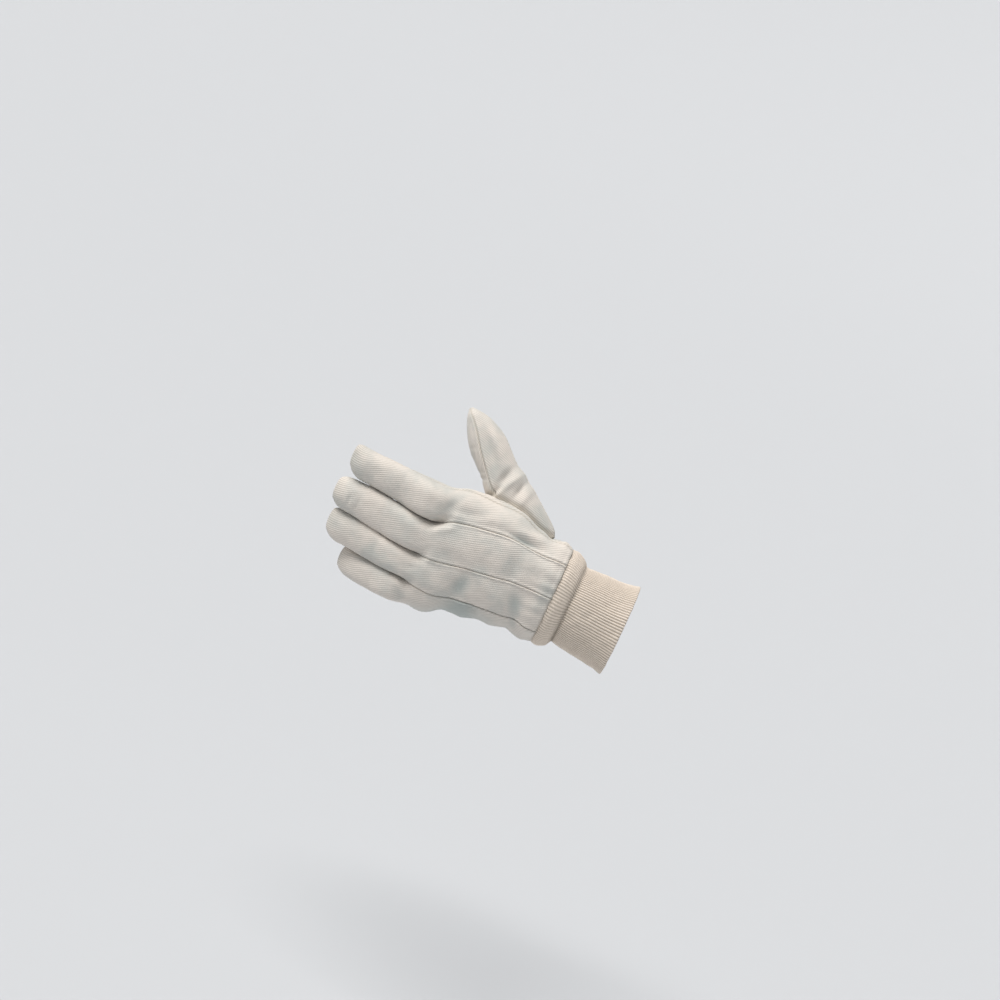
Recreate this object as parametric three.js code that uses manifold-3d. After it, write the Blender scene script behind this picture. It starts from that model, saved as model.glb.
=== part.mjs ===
import * as THREE from "three";
import Module from "manifold-3d";

const wasm = await Module();
wasm.setup();

const { clamp, degToRad, lerp, smoothstep } = THREE.MathUtils;

// A left cotton work glove with a knit wrist, in millimetres and in the form that it has when worn.
// The centre of the cuff's open end is the origin, the fingers point to -X,
// the back of the hand faces -Y and the thumb is on the +Z side.

// Knit cuff, from its open end to the wrist seam.
const CUFF_LENGTH = 60;
const CUFF_WIDTH = 75.6;
const CUFF_DEPTH = 56;
const KNIT_WALL = 2.2;

// Hand, from the wrist seam to the finger crotches.
const PALM_LENGTH = 117;
const PALM_WIDTH = 106;
const KNUCKLE_DEPTH = 33;
const WRIST_WIDTH = 79.4;
const WRIST_DEPTH = 56;
const CLOTH_WALL = 1.6;
const SEAM_GAP = 0.3;

// Rise of each strip between its seams, and the length over which a strip rolls into a finger.
const STRIP_PUFF = 1.3;
const WEB_LENGTH = 26;

// Fingers, from the crotch line to the tip.
const INDEX_LENGTH = 70;
const INDEX_WIDTH = 25.2;
const MIDDLE_LENGTH = 72;
const MIDDLE_WIDTH = 25.9;
const RING_LENGTH = 67;
const RING_WIDTH = 23.9;
const LITTLE_LENGTH = 47;
const LITTLE_WIDTH = 21.8;
const FINGER_DEPTH = 21;

// Gap between neighbouring fingertips, and the length over which two fingers part to it.
const FINGER_GAP = 1.6;
const PARTING_LENGTH = 55;

// Length of a fingertip's round end.
const TIP_ROUND = 14;

// Welt across the base of the middle finger's front.
const WELT_HEIGHT = 0.9;
const WELT_WIDTH = 4;

// Thumb, from its root inside the hand to the tip. THUMB_INSET and THUMB_DROP place the root from
// the hand's edge and towards the palm.
const THUMB_LENGTH = 126;
const THUMB_WIDTH = 38;
const THUMB_DEPTH = 27;
const THUMB_INSET = 19;
const THUMB_DROP = 5.9;
const THUMB_SPREAD = degToRad(40.3);
const THUMB_LEAN = degToRad(12.5);
const THUMB_SEAM_TURN = degToRad(55);

// Place of the thumb's root as a share of the palm's length.
const THUMB_ROOT_ALONG = 0.193;

// Share of the thumb's length where its tip starts to close.
const THUMB_TIP_START = 0.78;

// Roundness of the sections: 2 is an ellipse and more is boxier.
const HAND_POWER = 2.35;
const FINGER_POWER = 2.2;
const CUFF_POWER = 2.1;
const TIP_POWER = 2.5;
const PUFF_POWER = 0.7;

// Share of a finger's width that is left at the end of its tip, and of its length over which its
// depth falls from the knuckles'.
const TIP_FLAT = 0.4;
const DEPTH_TAPER = 0.4;

// How soon a fold reaches its full height from the edge of a section.
const FOLD_REACH = 2;

// Facets across each panel and round the cuff.
const STRIP_STEPS = 8;
const THUMB_STEPS = 8;
const CUFF_STEPS = 44;

// Smallest depth and half width of a section, at a tip where both panels meet flat.
const TIP_DEPTH = 0.3;
const TIP_HALF = 1.2;

// Overlap of two sheets that are joined into one panel.
const JOIN = 0.2;

// Side of the hand that a panel is on: the back faces -Y and the palm +Y.
const BACK = -1;
const PALM = 1;

const COTTON = { color: 0xdfd7c8, roughness: 0.95, metalness: 0 };
const KNIT = { color: 0xd8cdb4, roughness: 1, metalness: 0 };

// A table's rows as objects with named columns.
function table(names, rows) {
  const columns = names.split(" ");
  return rows.map((row) => Object.fromEntries(columns.map((name, i) => [name, row[i]])));
}

// Hand sections. along is a share of the palm's length, centre a share of its width, spread and
// taper run from the wrist's width and depth (0) to the palm's and the knuckles' (1).
// seam1 to seam3 are the seams of the back as shares of the half width, inner and outer those of
// the palm.
const HAND = table("along centre spread taper seam1 seam2 seam3 inner outer", [
  [0, 0.028, 0, 0, 0.78, 0.03, -0.72, 0.42, -0.34],
  [0.12, 0.032, 0.06, 0.06, 0.74, 0.01, -0.72, 0.36, -0.32],
  [0.25, 0.045, 0.16, 0.14, 0.7, -0.03, -0.72, 0.3, -0.3],
  [0.41, 0.062, 0.52, 0.27, 0.62, -0.1, -0.7, 0.27, -0.27],
  [0.6, 0.04, 0.72, 0.45, 0.57, -0.12, -0.69, 0.28, -0.25],
  [0.75, 0.002, 1, 0.62, 0.54, -0.11, -0.64, 0.32, -0.22],
  [0.87, -0.012, 0.88, 0.78, 0.5, -0.14, -0.63, 0.37, -0.2],
  [1, -0.038, 0.82, 1, 0.44, -0.12, -0.62, 0.43, -0.16],
]);

// Cuff sections. along is a share of the cuff's length, centre a share of its width, wrist runs
// from the cuff's size (0) to the wrist's (1) and swell is a factor on that size.
const CUFF = table("along centre wrist swell", [
  [0, 0.008, 0, 1.0],
  [0.07, 0.008, 0, 0.965],
  [0.22, 0.01, 0, 0.925],
  [0.42, 0.018, 0, 0.905],
  [0.6, 0.024, 0, 0.885],
  [0.71, 0.028, 0, 0.865],
  [0.755, 0.032, 0, 0.85],
  [0.79, 0.032, 0.5, 0.905],
  [0.84, 0.03, 1, 0.965],
  [0.9, 0.03, 1, 1.01],
  [0.96, 0.036, 1, 1.02],
  [1, 0.039, 1, 1.0],
]);

// Fingers in the order from the thumb's side. crotch is the place of the crotch on the little
// finger's side as a share of the palm's length, and shift how far that crotch lies towards the
// little finger as a share of the width. curl is the drop of the tip towards the palm as a share
// of the length, and lean the drift of the tip towards the thumb as a share of the width.
const FINGERS = table("name length width crotch shift curl lean", [
  ["index", INDEX_LENGTH, INDEX_WIDTH, 0.95, 0.13, 0.07, 0.16],
  ["middle", MIDDLE_LENGTH, MIDDLE_WIDTH, 1, 0.14, 0.13, 0.03],
  ["ring", RING_LENGTH, RING_WIDTH, 1, 0.03, 0.18, 0.1],
  ["little", LITTLE_LENGTH, LITTLE_WIDTH, 1, 0, 0.3, 0.08],
]);

const [INDEX, MIDDLE, RING, LITTLE] = FINGERS.keys();

// Thumb sections. along is a share of the thumb's length, half and depth are shares of half its
// width and depth, and side is the drift of its centre towards the wrist as a share of the width.
const THUMB = table("along half depth side", [
  [0, 0.78, 0.45, 0],
  [0.116, 1.02, 0.68, 0],
  [0.25, 1.02, 0.9, 0],
  [0.39, 0.95, 1, 0],
  [0.5, 0.88, 1, 0],
  [0.6, 0.8, 0.96, 0],
  [0.75, 0.79, 0.9, 0],
  [0.84, 0.65, 0.8, 0.01],
  [0.91, 0.47, 0.62, 0.02],
  [0.96, 0.3, 0.42, 0.035],
  [1, 0.12, 0.03, 0.04],
]);

// Folds and dents of the hand. along is a share of the palm's length, across of half its width,
// turn the angle of the fold's run from the hand's length in degrees, run and width shares of half
// the palm's width, and height the rise or, below 0, the dent as a share of the same.
const HAND_FOLDS = table("side along across turn run width height", [
  [BACK, 0.85, 0.44, 0, 0.16, 0.09, -0.034],
  [BACK, 0.84, -0.2, 10, 0.2, 0.08, -0.023],
  [BACK, 0.1, 0.5, 70, 0.22, 0.12, 0.023],
  [BACK, 0.3, -0.4, 55, 0.3, 0.12, 0.019],
  [PALM, 0.5, 0, 15, 0.75, 0.38, -0.066],
  [PALM, 0.3, -0.6, 10, 0.6, 0.22, 0.03],
]);

// Folds of the thumb's back. along is a share of the thumb's length and across of half its width,
// run, width and height are shares of half its width.
const THUMB_FOLDS = table("along across turn run width height", [
  [0.43, 0.65, 75, 0.55, 0.14, -0.09],
  [0.385, 0.15, 105, 0.4, 0.14, -0.08],
  [0.49, 0.45, 85, 0.6, 0.2, 0.063],
  [0.46, -0.45, 90, 0.3, 0.15, -0.074],
]);

// Rows of facets as shares of the palm's length and of a finger's length.
const HAND_ROWS = [0, 0.13, 0.26, 0.38, 0.5, 0.61, 0.7, 0.775, 0.84, 0.9, 0.95, 0.976, 1];
const FINGER_ROWS = [0.035, 0.09, 0.19, 0.32, 0.47, 0.62, 0.76, 0.85, 0.91, 0.955, 0.985, 1];
const THUMB_ROWS = [
  0, 0.1, 0.2, 0.28, 0.34, 0.38, 0.42, 0.46, 0.5, 0.56, 0.63, 0.71, 0.79, 0.85, 0.9, 0.94, 0.97,
  0.99, 1,
];

// A column of a table at any place between its rows, on a smooth curve through them.
function read(rows, column, along) {
  const last = rows.length - 1;
  let i = 0;
  while (i < last - 1 && along > rows[i + 1].along) i += 1;
  const slope = (from, to) =>
    (rows[to][column] - rows[from][column]) / (rows[to].along - rows[from].along);
  const step = rows[i + 1].along - rows[i].along;
  const t = clamp((along - rows[i].along) / step, 0, 1);
  const start = slope(Math.max(i - 1, 0), i + 1) * step;
  const end = slope(i, Math.min(i + 2, last)) * step;
  const t2 = t * t;
  const t3 = t2 * t;
  return (
    (2 * t3 - 3 * t2 + 1) * rows[i][column] +
    (t3 - 2 * t2 + t) * start +
    (3 * t2 - 2 * t3) * rows[i + 1][column] +
    (t3 - t2) * end
  );
}

// The rise of the folds at a place. offset gives its distances ahead and across from each fold's
// centre, and size is the length that the folds' shares are of.
function foldHeight(rows, size, offset) {
  return rows.reduce((sum, fold) => {
    const turn = degToRad(fold.turn);
    const { ahead, across } = offset(fold);
    const run = (ahead * Math.cos(turn) + across * Math.sin(turn)) / (fold.run * size);
    const side = (across * Math.cos(turn) - ahead * Math.sin(turn)) / (fold.width * size);
    return sum + fold.height * size * Math.exp(-run * run - side * side);
  }, 0);
}

// A point of a flattened round section: angle 0 is its +Z edge and pi its -Z edge.
function oval(half, depth, angle, power) {
  const bend = (value) => Math.sign(value) * Math.abs(value) ** (2 / power);
  return { z: half * bend(Math.cos(angle)), y: depth * bend(Math.sin(angle)) };
}

// The hand's section at a share of the palm's length.
function handSection(along) {
  return {
    centre: read(HAND, "centre", along) * PALM_WIDTH,
    half: lerp(WRIST_WIDTH, PALM_WIDTH, read(HAND, "spread", along)) / 2,
    depth: lerp(WRIST_DEPTH, KNUCKLE_DEPTH, read(HAND, "taper", along)) / 2,
  };
}

// Each finger's centre across the hand: the fingers stand side by side about the knuckles' centre.
const KNUCKLES = handSection(1);
const FINGER_ROW =
  FINGERS.reduce((sum, finger) => sum + finger.width, 0) + FINGER_GAP * (FINGERS.length - 1);
let rowEdge = KNUCKLES.centre + FINGER_ROW / 2;
for (const finger of FINGERS) {
  finger.centre = rowEdge - finger.width / 2;
  rowEdge -= finger.width + FINGER_GAP;
}

// The distance from the cuff's open end of a share of the palm's length.
const handPlace = (along) => CUFF_LENGTH + SEAM_GAP + along * PALM_LENGTH;
const CROTCH_LINE = handPlace(1);

// The seam lines across a side of the hand, as angles on its section. Seam 0 is the edge on the
// thumb's side and seam 4 that on the little finger's side.
const SEAM_COLUMNS = {
  [BACK]: ["seam1", "seam2", "seam3"],
  [PALM]: ["inner", "outer", "seam3"],
};

function seamShare(side, seam, along) {
  if (seam === 0) return 1;
  if (seam === FINGERS.length) return -1;
  return read(HAND, SEAM_COLUMNS[side][seam - 1], along);
}

function seamAngle(side, seam, along) {
  const share = seamShare(side, seam, along);
  return Math.acos(Math.sign(share) * Math.abs(share) ** (HAND_POWER / 2));
}

// The crotch that ends a seam: its share of the palm's length and its place across the hand.
function crotch(seam) {
  const upper = FINGERS[seam - 1];
  const lower = FINGERS[seam];
  if (!upper) return { along: FINGERS[0].crotch, z: KNUCKLES.centre + KNUCKLES.half };
  if (!lower) return { along: upper.crotch, z: KNUCKLES.centre - KNUCKLES.half };
  const middle = (upper.centre - upper.width / 2 + lower.centre + lower.width / 2) / 2;
  return { along: upper.crotch, z: middle - upper.shift * upper.width };
}

// The place across the hand of a finger's edge, which leaves its crotch slowly for its own place.
function edgeZ(finger, index, seam, place) {
  const own = finger.centre + (seam === index ? finger.width / 2 : -finger.width / 2);
  const start = handPlace(crotch(seam).along);
  return lerp(crotch(seam).z, own, smoothstep(place, start, start + PARTING_LENGTH));
}

// The factors that round a finger's tip: width and depth are factors on its own, and lean is the
// share of the tip's drift.
function tipFactors(place, tip) {
  const share = clamp((place - tip + TIP_ROUND) / TIP_ROUND, 0, 1);
  return {
    share,
    width: lerp(TIP_FLAT, 1, (1 - share ** TIP_POWER) ** (1 / TIP_POWER)),
    depth: Math.sqrt(1 - share * share),
    lean: share * share,
  };
}

// One face of the panel of a finger and its strip of the hand, as a grid of points.
// inset is 0 for the outer face and the cloth's wall for the inner one.
function stripFace(side, index, places, inset, joins) {
  const finger = FINGERS[index];
  const tip = CROTCH_LINE + finger.length;
  return places.map((outerPlace) => {
    const end = tipFactors(outerPlace, tip);
    const place = outerPlace - end.share * inset;
    const handAlong = Math.min((place - handPlace(0)) / PALM_LENGTH, 1);
    const hand = handSection(handAlong);
    const past = Math.max(place - CROTCH_LINE, 0) / finger.length;

    const seams = [index, index + 1];
    const inward = [-1, 1];
    const gaps = seams.map((seam) => (joins.includes(seam) ? -JOIN : SEAM_GAP / 2));
    const edges = seams.map((seam, i) => edgeZ(finger, index, seam, place) + inward[i] * gaps[i]);
    const loose = seams.map((seam) => {
      const stop = handPlace(crotch(seam).along);
      return smoothstep(place, stop - WEB_LENGTH, stop);
    });
    const angles = seams.map((seam, i) => {
      const outerEdge = seam === 0 || seam === FINGERS.length;
      const shift = outerEdge ? 0 : (-inward[i] * gaps[i]) / hand.half;
      return seamAngle(side, seam, handAlong) + shift;
    });
    const centre = (edges[0] + edges[1]) / 2 + end.lean * finger.lean * finger.width;
    const fingerHalf = ((edges[0] - edges[1]) / 2) * end.width - inset;
    const baseDepth = Math.min(KNUCKLE_DEPTH / 2, hand.depth);
    const fullDepth = lerp(baseDepth, FINGER_DEPTH / 2, smoothstep(past, 0, DEPTH_TAPER));
    const fingerDepth = Math.max((fullDepth - inset) * end.depth, TIP_DEPTH);
    const bend = finger.curl * finger.length * past * past;
    const sideFolds = HAND_FOLDS.filter((fold) => fold.side === side);
    const isWelt = side === PALM && index === MIDDLE && outerPlace > CROTCH_LINE;
    const welt = isWelt
      ? WELT_HEIGHT * (1 - smoothstep(outerPlace - CROTCH_LINE, WELT_WIDTH / 2, WELT_WIDTH))
      : 0;

    return Array.from({ length: STRIP_STEPS + 1 }, (_, column) => {
      const v = column / STRIP_STEPS;
      const flat = oval(
        hand.half - inset,
        hand.depth - inset,
        lerp(angles[0], angles[1], v),
        HAND_POWER,
      );
      const puff = STRIP_PUFF * Math.sin(Math.PI * v) ** PUFF_POWER;
      const tube = oval(fingerHalf, fingerDepth, Math.PI * v, FINGER_POWER);
      const share = lerp(loose[0], loose[1], v);
      const z = lerp(hand.centre + flat.z, centre + tube.z, share);
      const fold = foldHeight(sideFolds, PALM_WIDTH / 2, (row) => ({
        ahead: place - handPlace(row.along),
        across: z - hand.centre - (row.across * PALM_WIDTH) / 2,
      }));
      const facing = Math.min(1, (FOLD_REACH * Math.abs(flat.y)) / hand.depth) * (1 - share);
      const rise = fold * facing + welt * Math.sin(Math.PI * v);
      const y = lerp(Math.abs(flat.y) + puff, tube.y, share) + rise + SEAM_GAP / 2;
      return new THREE.Vector3(-place, side * y + bend, z);
    });
  });
}

// A closed solid between an outer and an inner grid of points. A ring closes on itself across.
function sheet(outer, inner, ring = false) {
  const rows = outer.length;
  const columns = outer[0].length;
  const points = [...outer.flat(), ...inner.flat()];
  const index = [];
  const at = (layer, i, j) => (layer * rows + i) * columns + (j % columns);
  const quad = (a, b, c, d) => index.push(a, b, c, a, c, d);
  const across = ring ? columns : columns - 1;
  for (let i = 0; i < rows - 1; i += 1) {
    for (let j = 0; j < across; j += 1) {
      quad(at(0, i, j), at(0, i + 1, j), at(0, i + 1, j + 1), at(0, i, j + 1));
      quad(at(1, i, j), at(1, i, j + 1), at(1, i + 1, j + 1), at(1, i + 1, j));
    }
  }
  for (let j = 0; j < across; j += 1) {
    quad(at(0, 0, j), at(0, 0, j + 1), at(1, 0, j + 1), at(1, 0, j));
    quad(at(0, rows - 1, j), at(1, rows - 1, j), at(1, rows - 1, j + 1), at(0, rows - 1, j + 1));
  }
  for (let i = 0; i < rows - 1 && !ring; i += 1) {
    const end = columns - 1;
    quad(at(0, i, 0), at(1, i, 0), at(1, i + 1, 0), at(0, i + 1, 0));
    quad(at(0, i, end), at(0, i + 1, end), at(1, i + 1, end), at(1, i, end));
  }
  return facingOut(points, index);
}

// A closed solid through rings of points, with a flat fan on each end.
function body(rings) {
  const columns = rings[0].length;
  const points = rings.flat();
  const index = [];
  const at = (i, j) => i * columns + (j % columns);
  for (let i = 0; i < rings.length - 1; i += 1) {
    for (let j = 0; j < columns; j += 1) {
      index.push(at(i, j), at(i + 1, j), at(i + 1, j + 1));
      index.push(at(i, j), at(i + 1, j + 1), at(i, j + 1));
    }
  }
  for (let j = 1; j < columns - 1; j += 1) {
    const end = rings.length - 1;
    index.push(at(0, 0), at(0, j), at(0, j + 1));
    index.push(at(end, 0), at(end, j + 1), at(end, j));
  }
  return facingOut(points, index);
}

// The solid of a closed surface, turned so that its faces point out.
function facingOut(points, index) {
  let volume = 0;
  for (let i = 0; i < index.length; i += 3) {
    const [a, b, c] = index.slice(i, i + 3).map((corner) => points[corner]);
    volume += a.dot(new THREE.Vector3().crossVectors(b, c));
  }
  const faces = volume < 0 ? index.reverse() : index;
  return new wasm.Manifold(
    new wasm.Mesh({
      numProp: 3,
      vertProperties: new Float32Array(points.flatMap((point) => point.toArray())),
      triVerts: new Uint32Array(faces),
    }),
  );
}

// A named mesh of a solid.
function piece(name, solid, finish) {
  const data = solid.getMesh();
  const geometry = new THREE.BufferGeometry();
  geometry.setAttribute("position", new THREE.BufferAttribute(data.vertProperties, 3));
  geometry.setIndex(new THREE.BufferAttribute(data.triVerts, 1));
  geometry.computeVertexNormals();
  const mesh = new THREE.Mesh(geometry, new THREE.MeshStandardMaterial(finish));
  mesh.name = name;
  return mesh;
}

// The places of the rows along the glove: over the hand, over a finger, and over both.
const handPlaces = HAND_ROWS.map(handPlace);
const fingerPlaces = (index) =>
  FINGER_ROWS.map((share) => CROTCH_LINE + share * FINGERS[index].length);
const wholePlaces = (index) => [...handPlaces, ...fingerPlaces(index)];

// The panel of one finger on one side of the hand. joins are the seams where it overlaps the next
// panel to become one cloth with it.
function strip(side, index, places, joins = []) {
  return sheet(
    stripFace(side, index, places, 0, joins),
    stripFace(side, index, places, CLOTH_WALL, joins),
  );
}

// The hand's outer form as one filled body, larger by a clearance.
function handBody(clearance) {
  const rings = HAND_ROWS.map((along) => {
    const hand = handSection(along);
    return Array.from({ length: CUFF_STEPS }, (_, i) => {
      const angle = (2 * Math.PI * i) / CUFF_STEPS;
      const point = oval(hand.half + clearance, hand.depth + clearance, angle, HAND_POWER);
      return new THREE.Vector3(-handPlace(along), point.y, hand.centre + point.z);
    });
  });
  return body(rings);
}

// The thumb's frame: its root, its direction and the direction across it, towards the wrist.
const rootSection = handSection(THUMB_ROOT_ALONG);
const THUMB_ROOT = new THREE.Vector3(
  -handPlace(THUMB_ROOT_ALONG),
  THUMB_DROP,
  rootSection.centre + rootSection.half - THUMB_INSET,
);
const THUMB_AXIS = new THREE.Vector3(
  -Math.cos(THUMB_SPREAD) * Math.cos(THUMB_LEAN),
  Math.sin(THUMB_LEAN),
  Math.sin(THUMB_SPREAD) * Math.cos(THUMB_LEAN),
);
const THUMB_ACROSS = new THREE.Vector3(Math.sin(THUMB_SPREAD), 0, Math.cos(THUMB_SPREAD));
const THUMB_OUT = new THREE.Vector3().crossVectors(THUMB_AXIS, THUMB_ACROSS).normalize();

// A point of the thumb's section: angle 0 is its edge towards the wrist and pi that at the index
// finger, and the back's angles are below 0.
function thumbPoint(along, angle, inset) {
  const half = (read(THUMB, "half", along) * THUMB_WIDTH) / 2;
  const depth = (read(THUMB, "depth", along) * THUMB_DEPTH) / 2;
  const tip = smoothstep(along, THUMB_TIP_START, 1);
  const wallHalf = Math.max(half - inset, TIP_HALF);
  const wallDepth = Math.max(depth - inset, TIP_DEPTH);
  const point = oval(wallHalf, wallDepth, angle, FINGER_POWER);
  const fold = foldHeight(THUMB_FOLDS, THUMB_WIDTH / 2, (row) => ({
    ahead: (along - row.along) * THUMB_LENGTH,
    across: point.z - (row.across * THUMB_WIDTH) / 2,
  }));
  const rise = fold * clamp(-FOLD_REACH * Math.sin(angle), 0, 1);
  return THUMB_ROOT.clone()
    .addScaledVector(THUMB_AXIS, along * THUMB_LENGTH - inset * tip)
    .addScaledVector(THUMB_ACROSS, point.z + read(THUMB, "side", along) * THUMB_WIDTH)
    .addScaledVector(THUMB_OUT, point.y - rise);
}

// One half of the thumb. The seam at the index finger's side is turned towards the back.
function thumbHalf(side) {
  const face = (inset) =>
    THUMB_ROWS.map((along) => {
      const turn = THUMB_SEAM_TURN * (1 - smoothstep(along, THUMB_TIP_START, 1));
      const full = Math.PI + side * turn;
      const gap = SEAM_GAP / THUMB_DEPTH;
      return Array.from({ length: THUMB_STEPS + 1 }, (_, i) => {
        const angle = side * lerp(gap, full - gap, i / THUMB_STEPS);
        const point = thumbPoint(along, angle, inset);
        return point.addScaledVector(THUMB_OUT, (side * SEAM_GAP) / 2);
      });
    });
  return sheet(face(0), face(CLOTH_WALL));
}

// The room inside the thumb, which opens into the hand.
function thumbRoom() {
  const rings = THUMB_ROWS.map((along) =>
    Array.from({ length: 2 * THUMB_STEPS }, (_, i) =>
      thumbPoint(along, (Math.PI * (i + 0.5)) / THUMB_STEPS - Math.PI, CLOTH_WALL),
    ),
  );
  return body(rings);
}

// The knit cuff: a straight sleeve, a crease and the puffed roll at the wrist seam.
function cuffSolid() {
  const face = (inset) =>
    CUFF.map((row) => {
      const half = (lerp(CUFF_WIDTH, WRIST_WIDTH, row.wrist) * row.swell) / 2 - inset;
      const depth = (lerp(CUFF_DEPTH, WRIST_DEPTH, row.wrist) * row.swell) / 2 - inset;
      return Array.from({ length: CUFF_STEPS }, (_, i) => {
        const point = oval(half, depth, (2 * Math.PI * i) / CUFF_STEPS, CUFF_POWER);
        const centre = row.centre * CUFF_WIDTH;
        return new THREE.Vector3(-row.along * CUFF_LENGTH, point.y, centre + point.z);
      });
    });
  return sheet(face(0), face(KNIT_WALL), true);
}

const glove = new THREE.Group();

FINGERS.forEach((finger, index) => {
  glove.add(piece("back_" + finger.name, strip(BACK, index, wholePlaces(index)), COTTON));
});

const thumbSide = strip(PALM, INDEX, wholePlaces(INDEX)).subtract(thumbRoom());
glove.add(piece("palm_thumb_side", thumbSide, COTTON));
glove.add(piece("palm_centre", strip(PALM, MIDDLE, handPlaces), COTTON));

const middleFront = [CROTCH_LINE + SEAM_GAP, ...fingerPlaces(MIDDLE)];
glove.add(piece("middle_finger_front", strip(PALM, MIDDLE, middleFront), COTTON));

const outerPalm = strip(PALM, RING, wholePlaces(RING), [LITTLE]).add(
  strip(PALM, LITTLE, wholePlaces(LITTLE), [LITTLE]),
);
glove.add(piece("palm_outer", outerPalm, COTTON));

const handRoom = handBody(STRIP_PUFF + SEAM_GAP);
glove.add(piece("thumb_back", thumbHalf(BACK).subtract(handRoom), COTTON));
glove.add(piece("thumb_front", thumbHalf(PALM).subtract(handRoom), COTTON));
glove.add(piece("knit_cuff", cuffSolid(), KNIT));

export default glove;
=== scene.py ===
"""Dresses the cotton work glove: sewn drill panels, set-in thumb and ribbed knit wrist.

The glove's form is worked out in millimetres and made in metres. Places along the glove are
distances from the cuff's open end towards the fingertips, so a place s lies at x = -s.
"""

from __future__ import annotations

import logging
import math
import random
from dataclasses import dataclass, field
from enum import Enum
from typing import Callable, Iterator, Sequence

import bmesh
import bpy
from mathutils import Matrix, Vector, noise

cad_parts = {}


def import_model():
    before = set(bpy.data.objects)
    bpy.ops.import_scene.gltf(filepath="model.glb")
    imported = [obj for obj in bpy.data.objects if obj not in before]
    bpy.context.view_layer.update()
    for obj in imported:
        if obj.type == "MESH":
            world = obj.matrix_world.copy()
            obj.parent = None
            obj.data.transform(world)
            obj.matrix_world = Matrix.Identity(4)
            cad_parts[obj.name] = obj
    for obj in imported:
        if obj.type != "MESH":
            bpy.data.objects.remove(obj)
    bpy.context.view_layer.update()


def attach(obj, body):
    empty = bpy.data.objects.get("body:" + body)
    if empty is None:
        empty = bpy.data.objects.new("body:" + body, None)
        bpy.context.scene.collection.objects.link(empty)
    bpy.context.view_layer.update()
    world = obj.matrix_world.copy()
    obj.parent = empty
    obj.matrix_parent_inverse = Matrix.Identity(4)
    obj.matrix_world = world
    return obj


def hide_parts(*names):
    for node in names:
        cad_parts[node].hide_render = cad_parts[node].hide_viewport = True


MM = 0.001
TURN = 2.0 * math.pi
SEED = 11
WEAVE_RELIEF = 0.3
LOG = logging.getLogger("glove")

Colour = tuple[float, float, float]
Spans = list[tuple[float, float]]


class Side(Enum):
    """Side of the hand that a panel covers, with the sign of its Y direction."""

    BACK = -1
    PALM = 1


def lerp(start: float, end: float, share: float) -> float:
    """Return the value at a share of the way from start to end."""
    return start + (end - start) * share


def smoothstep(value: float, low: float, high: float) -> float:
    """Return 0 below low, 1 above high and a smooth rise between them."""
    share = min(max((value - low) / (high - low), 0.0), 1.0)
    return share * share * (3.0 - 2.0 * share)


def bump(distance: float, width: float) -> float:
    """Return a soft hump of height 1 at distance 0 that fades over a width."""
    return math.exp(-((distance / width) ** 2))


def crowded(count: int, crowding: float) -> list[float]:
    """Return shares from 0 to 1 that lie closer together at both ends."""
    steps = [i / count for i in range(count + 1)]
    return [step - crowding / TURN * math.sin(TURN * step) for step in steps]


def distances(points: Sequence[Vector]) -> Spans:
    """Return each point's distances along a row from the row's two ends.

    Args:
        points: the row's points in order.

    Returns:
        The distances from the first and from the last point.
    """
    run = [0.0]
    for before, after in zip(points, points[1:]):
        run.append(run[-1] + (after - before).length)
    return [(value, run[-1] - value) for value in run]


def oval_normal(half: float, depth: float, z: float, y: float, power: float) -> Vector:
    """Find the outward direction at a point of a flattened round section.

    Args:
        half: the section's half width along Z.
        depth: its half depth along Y.
        z: the point's place along Z.
        y: the point's place along Y.
        power: 2 for an ellipse, more for a squarer section.

    Returns:
        The direction.
    """
    up = math.copysign(abs(z / half) ** (power - 1.0) / half, z)
    out = math.copysign(abs(y / depth) ** (power - 1.0) / depth, y)
    return Vector((0.0, out, up)).normalized()


def oval(half: float, depth: float, angle: float, power: float) -> tuple[float, float]:
    """Find a point of a flattened round section.

    Args:
        half: the section's half width along Z.
        depth: its half depth along Y.
        angle: the angle from the +Z edge in radians.
        power: 2 for an ellipse, more for a squarer section.

    Returns:
        The point's z and y.
    """
    cos, sin = math.cos(angle), math.sin(angle)
    z = math.copysign(abs(cos) ** (2.0 / power), cos)
    y = math.copysign(abs(sin) ** (2.0 / power), sin)
    return half * z, depth * y


class Table:
    """Rows with named columns, read at any place on smooth curves through them."""

    def __init__(self, names: str, rows: Sequence[Sequence[float]]) -> None:
        """Keep the rows.

        Args:
            names: the column names, of which the first is the place.
            rows: the values, a row for each place.
        """
        self.columns = {name: [row[i] for row in rows] for i, name in enumerate(names.split())}
        self.places = self.columns[names.split()[0]]

    def read(self, column: str, place: float) -> float:
        """Return a column's value at a place.

        Args:
            column: the column's name.
            place: the value of the first column to read at.

        Returns:
            The value on a cubic through the rows.
        """
        xs, ys = self.places, self.columns[column]
        last = len(xs) - 1
        i = 0
        while i < last - 1 and place > xs[i + 1]:
            i += 1
        before, after = max(i - 1, 0), min(i + 2, last)
        step = xs[i + 1] - xs[i]
        t = min(max((place - xs[i]) / step, 0.0), 1.0)
        start = (ys[i + 1] - ys[before]) / (xs[i + 1] - xs[before]) * step
        end = (ys[after] - ys[i]) / (xs[after] - xs[i]) * step
        t2, t3 = t * t, t * t * t
        return (
            (2 * t3 - 3 * t2 + 1) * ys[i]
            + (t3 - 2 * t2 + t) * start
            + (3 * t2 - 2 * t3) * ys[i + 1]
            + (t3 - t2) * end
        )


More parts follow.
